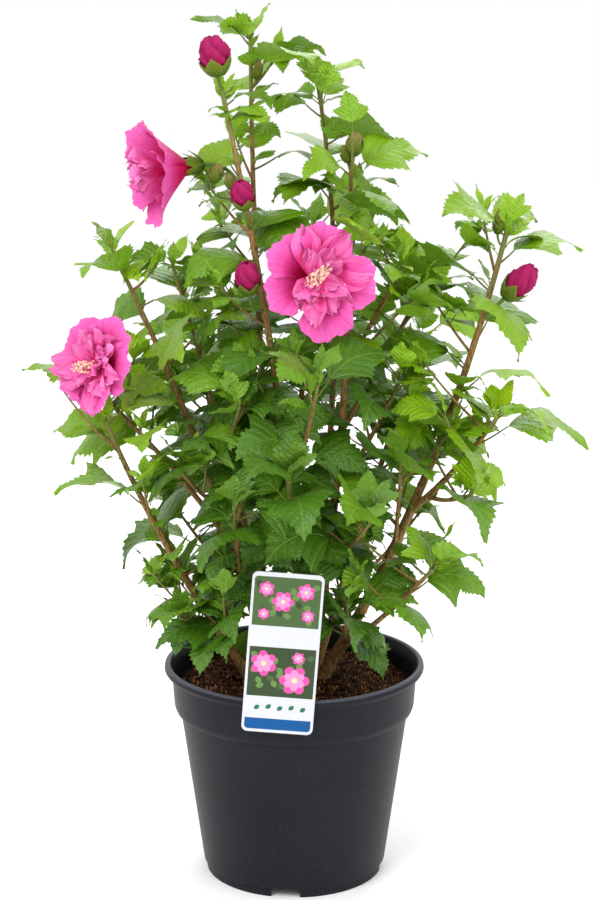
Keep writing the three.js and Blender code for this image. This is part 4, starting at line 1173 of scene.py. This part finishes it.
leaf_finishes = []
for name, (blade_colour, patch_colour, vein_colour, under_colour) in LEAF_TONES.items():
    finish, tree, shader, place = finish_of(name, 0.37, 0.34)
    run = node(tree, "ShaderNodeSeparateXYZ", {"Vector": place["UV"]}).outputs
    toned = filled(tree, tissue, {
        "Vector": place["Object"], "Across": run["X"], "Along": run["Y"],
        "Blade": (*blade_colour, 1), "Patch": (*patch_colour, 1), "Vein": (*vein_colour, 1),
    })
    facing = node(tree, "ShaderNodeNewGeometry").outputs["Backfacing"]
    tree.links.new(blended(tree, facing, toned["Colour"], (*under_colour, 1)), shader.inputs["Base Color"])
    # Painted glow: the underside gets a weak emission of its own colour, standing in for light that shines
    # through the thin leaf.
    tree.links.new(blended(tree, facing, (0, 0, 0, 1), (*under_colour, 1)), shader.inputs["Emission Color"])
    shader.inputs["Emission Strength"].default_value = LEAF_PAINTED_GLOW
    quilted = node(tree, "ShaderNodeBump", {"Height": toned["Height"], "Distance": 0.0014, "Strength": 0.75})
    tree.links.new(quilted.outputs["Normal"], shader.inputs["Normal"])
    leaf_finishes.append(finish)

foliage_nodes = ["foliage_" + name for name, *_ in masses]
large_leaves.piece("leaves_large", leaf_finishes, "leaf", foliage_nodes)
small_leaves.piece("leaves_small", leaf_finishes, "leaf", foliage_nodes)
twig_wood.piece("twigs", [bark], "bark", foliage_nodes)

# ------------------------------------------------------------------ flowers
# Double flowers: five broad, veined outer petals round a deep crimson throat, ruffled narrow inner
# ones, and a pale column of stamens. A lobed green calyx and thin bracts hold each on its stalk.

PETALS, PETAL_HALF, PETAL_BELL = 5, 36, 1.7   # number, half width in degrees, how it leaves the throat
PETAL_ROWS, PETAL_COLUMNS, INNER_ROWS = 18, 31, 13
INNER_RINGS = (  # number, length and half width by the radius, rise in degrees, foot by the depth
    (8, 0.84, 0.24, 36, -0.60), (8, 0.66, 0.19, 46, -0.50), (8, 0.50, 0.15, 58, -0.42),
    (6, 0.32, 0.11, 72, -0.36),
)
COLUMN_LENGTH, COLUMN = 0.98, ((0.2, 0.15), (0, 0), 0.4)  # the latter: lean, shift, where anthers begin
STYLES, STYLE_LENGTH, STYLE_SPREAD = 5, 0.13, 0.075
CALYX_SIZE, CALYX_TEETH, CALYX_ROWS, CALYX_SIDES = 0.40, 5, 9, 40
TOOTH_SHARP, TOOTH_FOOT, BRACTS = 0.9, 0.52, 7
petals, calyxes, stamens = Bundle(), Bundle(), Bundle()


def axes_of(looks):
    """Two directions across a flower that looks along `looks`: to its right and up."""
    right = np.cross(UP, looks)
    right /= np.linalg.norm(right)
    return right, np.cross(looks, right)


def round_body(foot, way, tall, reach, around):
    """Rows of points about an axis, each by its height along it, its reach from it and its angle."""
    right, rise = axes_of(way)
    return (foot + tall[..., None] * way
            + (reach * np.cos(around))[..., None] * right + (reach * np.sin(around))[..., None] * rise)


def petal(centre, looks, turn, reach, half, depth, bell, rng):
    """One broad outer petal: a wedge that leaves the throat and spreads, ruffled towards its rim."""
    right, rise = axes_of(looks)
    s = np.linspace(0.04, 1, PETAL_ROWS)[:, None]
    t = np.linspace(-1, 1, PETAL_COLUMNS)[None, :]
    phase = rng.uniform(0, 6.28, 4)
    angle = turn + t * half * (0.72 + 0.28 * s)
    out = reach * s * (1 - 0.15 * t ** 2 * s - 0.16 * t ** 4 * s ** 3)
    frayed = 0.030 * np.sin(8 * t + phase[0]) + 0.016 * np.sin(19 * t + phase[1]) + 0.010 * np.sin(37 * t)
    out = out * (1 + s ** 5 * frayed)
    back = -depth * (1 - s) ** bell - reach * 0.12 * s ** 5
    ruffle = (0.060 * np.sin(3.6 * t + phase[2]) * s ** 2 + 0.030 * np.sin(11 * t + phase[3]) * s ** 3
              + 0.016 * np.sin(26 * t + phase[1]) * s ** 5)
    height = back + reach * (ruffle + 0.07 * t * s)
    way = np.cos(angle)[..., None] * right + np.sin(angle)[..., None] * rise
    points = centre + out[..., None] * way + height[..., None] * looks
    marks = np.stack([0.5 + 0.5 * t * np.ones_like(s), s * np.ones_like(t)], -1)
    petals.grid(points, marks, 0)


def inner_petal(foot, looks, turn, length, half, rise_angle, curl, rng):
    """One narrow inner petal: it rises from the throat, leans out and crimps along its edges."""
    right, rise = axes_of(looks)
    s = np.linspace(0.0, 1, INNER_ROWS)
    t = np.linspace(-1, 1, INNER_ROWS)[None, :]
    phase = rng.uniform(0, 6.28, 3)
    lean = math.radians(rise_angle) * (1 - curl * s)
    step = length / (len(s) - 1)
    radial = np.cumsum(np.cos(lean)) * step
    ahead = np.cumsum(np.sin(lean)) * step
    way = math.cos(turn) * right + math.sin(turn) * rise
    aside = -math.sin(turn) * right + math.cos(turn) * rise
    s = s[:, None]
    wide = half * (0.18 + 0.82 * np.sin(np.pi * np.clip(s, 0, 1) ** 0.9 * 0.62) ** 1.2) * (1 - 0.45 * s ** 8)
    face = (np.sin(lean)[:, None, None] * -way + np.cos(lean)[:, None, None] * looks)
    crimp = half * (0.30 * np.sin(5 * t + phase[0] + 3 * s) * s
                    + 0.20 * np.sin(11 * t + 7 * s + phase[1]) * s ** 2 + 0.35 * t ** 2)
    tip = -0.12 * length * t ** 2 * s ** 3 + 0.04 * length * np.sin(9 * t + phase[2]) * s ** 4
    points = (foot + radial[:, None, None] * way + ahead[:, None, None] * looks
              + (wide * t)[..., None] * aside + crimp[..., None] * face + tip[..., None] * way)
    marks = np.stack([0.5 + 0.5 * t * np.ones_like(s), (0.25 + 0.75 * s) * np.ones_like(t)], -1)
    petals.grid(points, marks, 1)


def cup(foot, way, length, radius, gape):
    """A calyx: a cup of pointed teeth on a foot. `radius` gives its radius by height, gape opens it."""
    s = np.linspace(0, 1, CALYX_ROWS)[:, None]
    around = np.linspace(0, 2 * math.pi, CALYX_SIDES, endpoint=False)[None, :]
    lobe = np.abs((around * CALYX_TEETH / (2 * math.pi)) % 1 * 2 - 1) ** TOOTH_SHARP
    tall = length * s * (TOOTH_FOOT + (1 - TOOTH_FOOT) * (1 - lobe))
    reach = radius(tall / length) + gape * length * (tall / length) ** 2 * (1 - 0.6 * lobe)
    points = round_body(foot, way, tall, reach, around)
    marks = np.stack([lobe * np.ones_like(s), s * np.ones_like(around)], -1)
    calyxes.grid(points, marks, 0, closed=True)


def bracts(foot, way, length, spread, radius, rng):
    """The ring of thin green bracts under a calyx."""
    right, rise = axes_of(way)
    for place in range(BRACTS):
        turn = 2 * math.pi * place / BRACTS + rng.uniform(-0.2, 0.2)
        out = math.cos(turn) * right + math.sin(turn) * rise
        start = foot + out * radius * 0.5
        reach = length * rng.uniform(0.75, 1.1)
        knee = start + out * reach * 0.55 * spread + way * reach * 0.25
        tip = start + out * reach * spread + way * reach * (1.0 - 0.45 * spread)
        tube(calyxes, Route(start, knee, tip), 0, 1, lambda share: 0.85 * (1.05 - share ** 2), 5, 6)


anther_beds = Bundle()
for number, (name, row) in enumerate(BLOOMS.items()):
    rng = np.random.default_rng(70 + number)
    centre, looks, radius = FLOWER_ZONES[number]
    depth = row["depth"]
    for place in range(PETALS):
        even = (-7 + 72 * place + rng.uniform(-7, 7), rng.uniform(0.94, 1.04))
        turn, reach = row["petals"][place] if "petals" in row else even
        spread = math.radians(row.get("half", PETAL_HALF) + rng.uniform(-2, 2))
        petal(centre, looks, math.radians(turn), radius * reach, spread, depth,
              row.get("bell", PETAL_BELL), rng)
    for ring, (count, length, half, lift, sunk) in enumerate(INNER_RINGS):
        for place in range(count):
            turn = 2 * math.pi * (place + 0.5 * ring + rng.uniform(-0.3, 0.3)) / count
            if "gap" in row and math.cos(turn - math.radians(row["gap"])) > 0.62:
                continue
            foot = centre + looks * sunk * depth * rng.uniform(0.85, 1.1)
            size = radius * row.get("fullness", 1.0)
            long = size * length * rng.uniform(0.8, 1.12)
            wide = size * half * rng.uniform(0.75, 1.2)
            up = lift + row.get("steep", 0) + rng.uniform(-12, 12)
            inner_petal(foot, looks, turn, long, wide, up, row.get("curl", 0.75), rng)
    right, rise = axes_of(looks)
    lean, foot_shift, bed = row.get("column", COLUMN)
    column = looks + lean[0] * right + lean[1] * rise
    column /= np.linalg.norm(column)
    base = centre - looks * depth * 0.8 + foot_shift[0] * right + foot_shift[1] * rise
    end = base + column * radius * (row.get("pistil", COLUMN_LENGTH) - 0.25 * (bed > 0.4))
    stem_line = Route(base, (base + end) / 2, end)
    tube(stamens, stem_line, 0, 1, lambda share: 1.9 - 0.7 * share, 10, 10)
    tube(anther_beds, stem_line, bed, 1.0, lambda share: 6.4 - 2.4 * share, 12, 12)
    for style in range(STYLES):
        turn = 2 * math.pi * style / STYLES
        out = math.cos(turn) * right + math.sin(turn) * rise
        tip = end + column * radius * STYLE_LENGTH + out * radius * STYLE_SPREAD
        style_line = Route(end, (end + tip) / 2 + column, tip)
        tube(stamens, style_line, 0, 1, lambda share: 0.5 + 0.55 * share ** 4, 6, 5, 1)
    back = centre - looks * (depth + 8)
    calyx = radius * CALYX_SIZE
    swell, gape = (0.42, 0.22) if depth < 40 else (0.26, 0.04)
    cup(back, looks, calyx * 1.25,
        lambda share: calyx * (0.16 + swell * np.minimum(share * 3, 1) ** 0.6), gape)
    bracts(back, looks, calyx * 1.15, 0.7, calyx * 0.3, rng)
    route = limbs[row["parent"]]["route"]
    start = route.at(route.share_at(row["height"]))
    away = np.linalg.norm(back - start)
    stalk = Route(start, back - looks * away * 0.6, back + looks * 1.5)
    tube(calyxes, stalk, 0, 1, lambda share: 1.5 + 0.5 * share ** 6, 8, 14, 1)

flesh, given, out = new_group("petal_tissue", {
    "Across": ("NodeSocketFloat", 0.5), "Along": ("NodeSocketFloat", 0.0),
    "Throat": ("NodeSocketColor", None), "Middle": ("NodeSocketColor", None),
    "Rim": ("NodeSocketColor", None), "Vein": ("NodeSocketColor", None),
    "Throat end": ("NodeSocketFloat", 0.3),
}, {"Colour": "NodeSocketColor", "Height": "NodeSocketFloat"})
lines = node(flesh, "ShaderNodeCombineXYZ", {
    "X": reckoned(flesh, "MULTIPLY", given["Across"], 40.0),
    "Y": reckoned(flesh, "MULTIPLY", given["Along"], 2.0), "Z": 0.0,
})
streaks = node(flesh, "ShaderNodeTexNoise", {
    "Vector": lines.outputs[0], "Scale": 1.0, "Detail": 2.0, "Roughness": 0.6,
})
streak = mapped(flesh, streaks.outputs[0], 0.38, 0.66)
deepest = reckoned(flesh, "MULTIPLY", given["Throat end"], 0.35)
deep = mapped(flesh, given["Along"], given["Throat end"], deepest)
body = blended(flesh, mapped(flesh, given["Along"], 0.35, 1.0), given["Middle"], given["Rim"])
veined = blended(flesh, reckoned(flesh, "MULTIPLY", streak, 0.32), body, given["Vein"])
flesh.links.new(blended(flesh, deep, veined, given["Throat"]), out["Colour"])
flesh.links.new(streaks.outputs[0], out["Height"])


def petal_finish(name, throat, middle, rim, vein, throat_end, roughness=0.55, painted_glow=0.0):
    """A petal's material: deeper by its foot, paler to its rim, with fine veins, and a weak emission of its
    own colour: a painted glow that stands in for light through the petal.
    """
    finish, tree, shader, place = finish_of(name, roughness, 0.12)
    run = node(tree, "ShaderNodeSeparateXYZ", {"Vector": place["UV"]}).outputs
    toned = filled(tree, flesh, {
        "Across": run["X"], "Along": run["Y"], "Throat": (*throat, 1), "Middle": (*middle, 1),
        "Rim": (*rim, 1), "Vein": (*vein, 1), "Throat end": throat_end,
    })
    tree.links.new(toned["Colour"], shader.inputs["Base Color"])
    # Painted glow: the petal's own colour is fed to its emission.
    tree.links.new(toned["Colour"], shader.inputs["Emission Color"])
    shader.inputs["Emission Strength"].default_value = painted_glow
    lined = node(tree, "ShaderNodeBump", {"Height": toned["Height"], "Distance": 0.0013, "Strength": 0.8})
    tree.links.new(lined.outputs["Normal"], shader.inputs["Normal"])
    return finish


petals.piece("petals", [
    petal_finish("petal_outer", (0.42, 0.0, 0.040), (0.64, 0.012, 0.21), (0.77, 0.140, 0.46),
                 (0.48, 0.004, 0.15), 0.66, painted_glow=0.08),
    petal_finish("petal_inner", (0.72, 0.002, 0.12), (0.78, 0.026, 0.28), (0.90, 0.25, 0.58),
                 (0.58, 0.008, 0.18), 0.74, painted_glow=0.09),
], "petal", list(BLOOMS))
cream = petal_finish(
    "stamen_pink", (0.80, 0.20, 0.28), (0.85, 0.42, 0.42), (0.92, 0.62, 0.50), (0.85, 0.40, 0.40), 0.3)
pale = petal_finish(
    "stigma_cream", (0.88, 0.58, 0.46), (0.92, 0.68, 0.52), (0.95, 0.78, 0.60), (0.9, 0.6, 0.45), 0.3)
stamens.piece("stamen_columns", [cream, pale], "petal", list(BLOOMS))
bed_mesh = bpy.data.meshes.new("anther_beds")
corners = np.concatenate(anther_beds.points)
quads = np.concatenate(anther_beds.faces)
bed_mesh.from_pydata((corners * MM).tolist(), [], quads.tolist())
strew("anthers", bed_mesh, density=95000, size=0.0019, long=1.0, seed=11, finish=pale)

# ------------------------------------------------------------------ buds
# Fat furled buds: five magenta petals wrapped round each other, gripped by an olive calyx with five
# pointed teeth. Some are still small and green. Each stands on its own stalk from a stem.

SMALL_BUDS = (                           # parent, height, foot, top and radius: green, just begun to swell
    ("tall", 676, (-31, 24, 684), (-29, 23, 700), 4.2),
    ("flowering", 590, (-66, -38, 605), (-59, -39, 619), 6.2),
    ("centre", 606, (44, -3, 618), (40, -5, 632), 4.4),
    ("right", 548, (168, -12, 560), (170, -13, 580), 5.2),
    ("flowering", 578, (-50, -45, 600), (-53, -46, 612), 4.4),
)
BUD_ROWS, BUD_SIDES, BUD_FILL = 22, 90, 0.93
BUD_MOUTH = ((0.0, 0.82), (0.08, 0.6), (0.16, 0.01))  # how far down and how wide the tip's inside is
THIN_STALK, THICK_STALK, THIN_UNDER = 0.9, 1.5, 8
furled = Bundle()


def bud(foot, top, radius, held, rng, green):
    """A furled bud: its wrapped petals, and the calyx that holds their lower part."""
    length = np.linalg.norm(top - foot)
    way = (top - foot) / length
    s = np.linspace(0, 1, BUD_ROWS)[:, None]
    around = np.linspace(0, 2 * math.pi, BUD_SIDES, endpoint=False)[None, :]

    def swell(share):
        return radius * np.sin(np.pi * (0.07 + 0.85 * share ** 0.92)) ** 0.66

    wrap = (around * PETALS / (2 * math.pi) + 1.7 * s) % 1
    fold = 1 + (0.34 * (wrap - 0.5) + 0.05 * np.sin(18.85 * wrap + 2 * s)) * np.minimum(1, 2.4 * s)
    fold = fold + (0.035 * np.sin(23 * around + 9 * s) + 0.022 * np.sin(41 * around - 7 * s)) * (0.4 + s ** 2)
    reach = 0.84 * swell(s) * fold
    tall = length * (s - 0.02 * np.cos(5 * around) * s ** 4)
    points = round_body(foot, way, tall, reach, around)
    marks = np.stack([wrap * np.ones_like(s), (0.3 + 0.7 * s) * np.ones_like(around)], -1)
    mouth = [foot + way * length * (1 - drop) + (points[-1] - foot - way * length) * share
             for drop, share in BUD_MOUTH]
    points = np.concatenate([(foot + (points[0] - foot) * 0.01)[None], points, mouth])
    last = marks[-1:]
    marks = np.concatenate([marks[:1], marks, last * (1, 0.55), last * (1, 0.1), last * (1, 0.1)])
    furled.grid(points, marks, 1 if green else 0, closed=True)
    cup(foot - way * 1.0, way, length * held, lambda share: swell(share * held * 0.92) * 0.90 + 0.9, 0.05)
    bracts(foot, way, length * 0.42, 0.75, radius * 0.45, rng)


small_rows = [dict(parent=parent, height=height, foot=foot, top=top, radius=radius, green=True)
              for parent, height, foot, top, radius in SMALL_BUDS]
for number, row in enumerate([*BUDS.values(), *small_rows]):
    rng = np.random.default_rng(90 + number)
    foot, top = np.array(row["foot"], float), np.array(row["top"], float)
    if row["radius"] > THIN_UNDER:
        foot = foot + (top - foot) * 0.15
    green = row.get("green", False)
    held = 0.88 if green else 0.34 + 0.012 * row["radius"]
    bud(foot, top - (top - foot) * 0.06, row["radius"] * BUD_FILL, held, rng, green)
    looks = (top - foot) / np.linalg.norm(top - foot)
    route = limbs[row["parent"]]["route"]
    start = route.at(route.share_at(row["height"]))
    end = foot + looks
    stalk = Route(start, end - looks * np.linalg.norm(end - start) * 0.6, end)
    thick = THIN_STALK if row["radius"] < THIN_UNDER else THICK_STALK
    tube(calyxes, stalk, 0, 1, lambda share: thick + 0.4 * share ** 6, 8, 8, 1)

furled.piece("buds", [
    petal_finish("bud_magenta", (0.10, 0.0, 0.012), (0.36, 0.005, 0.075), (0.55, 0.026, 0.17),
                 (0.17, 0.001, 0.030), 0.45, 0.42),
    petal_finish("bud_green", (0.10, 0.20, 0.02), (0.20, 0.27, 0.04), (0.36, 0.25, 0.09),
                 (0.15, 0.22, 0.04), 0.35, 0.5),
], "bud", list(BUDS))
green_finishes = [
    petal_finish("calyx_green", (0.075, 0.130, 0.008), (0.105, 0.185, 0.009), (0.21, 0.25, 0.03),
                 (0.070, 0.12, 0.008), 0.3, 0.5),
    petal_finish("stalk_green", (0.16, 0.22, 0.04), (0.14, 0.24, 0.04), (0.13, 0.25, 0.04),
                 (0.20, 0.22, 0.06), 0.3, 0.5),
]
calyxes.piece("calyxes", green_finishes, "bud", list(BUDS) + list(BLOOMS))
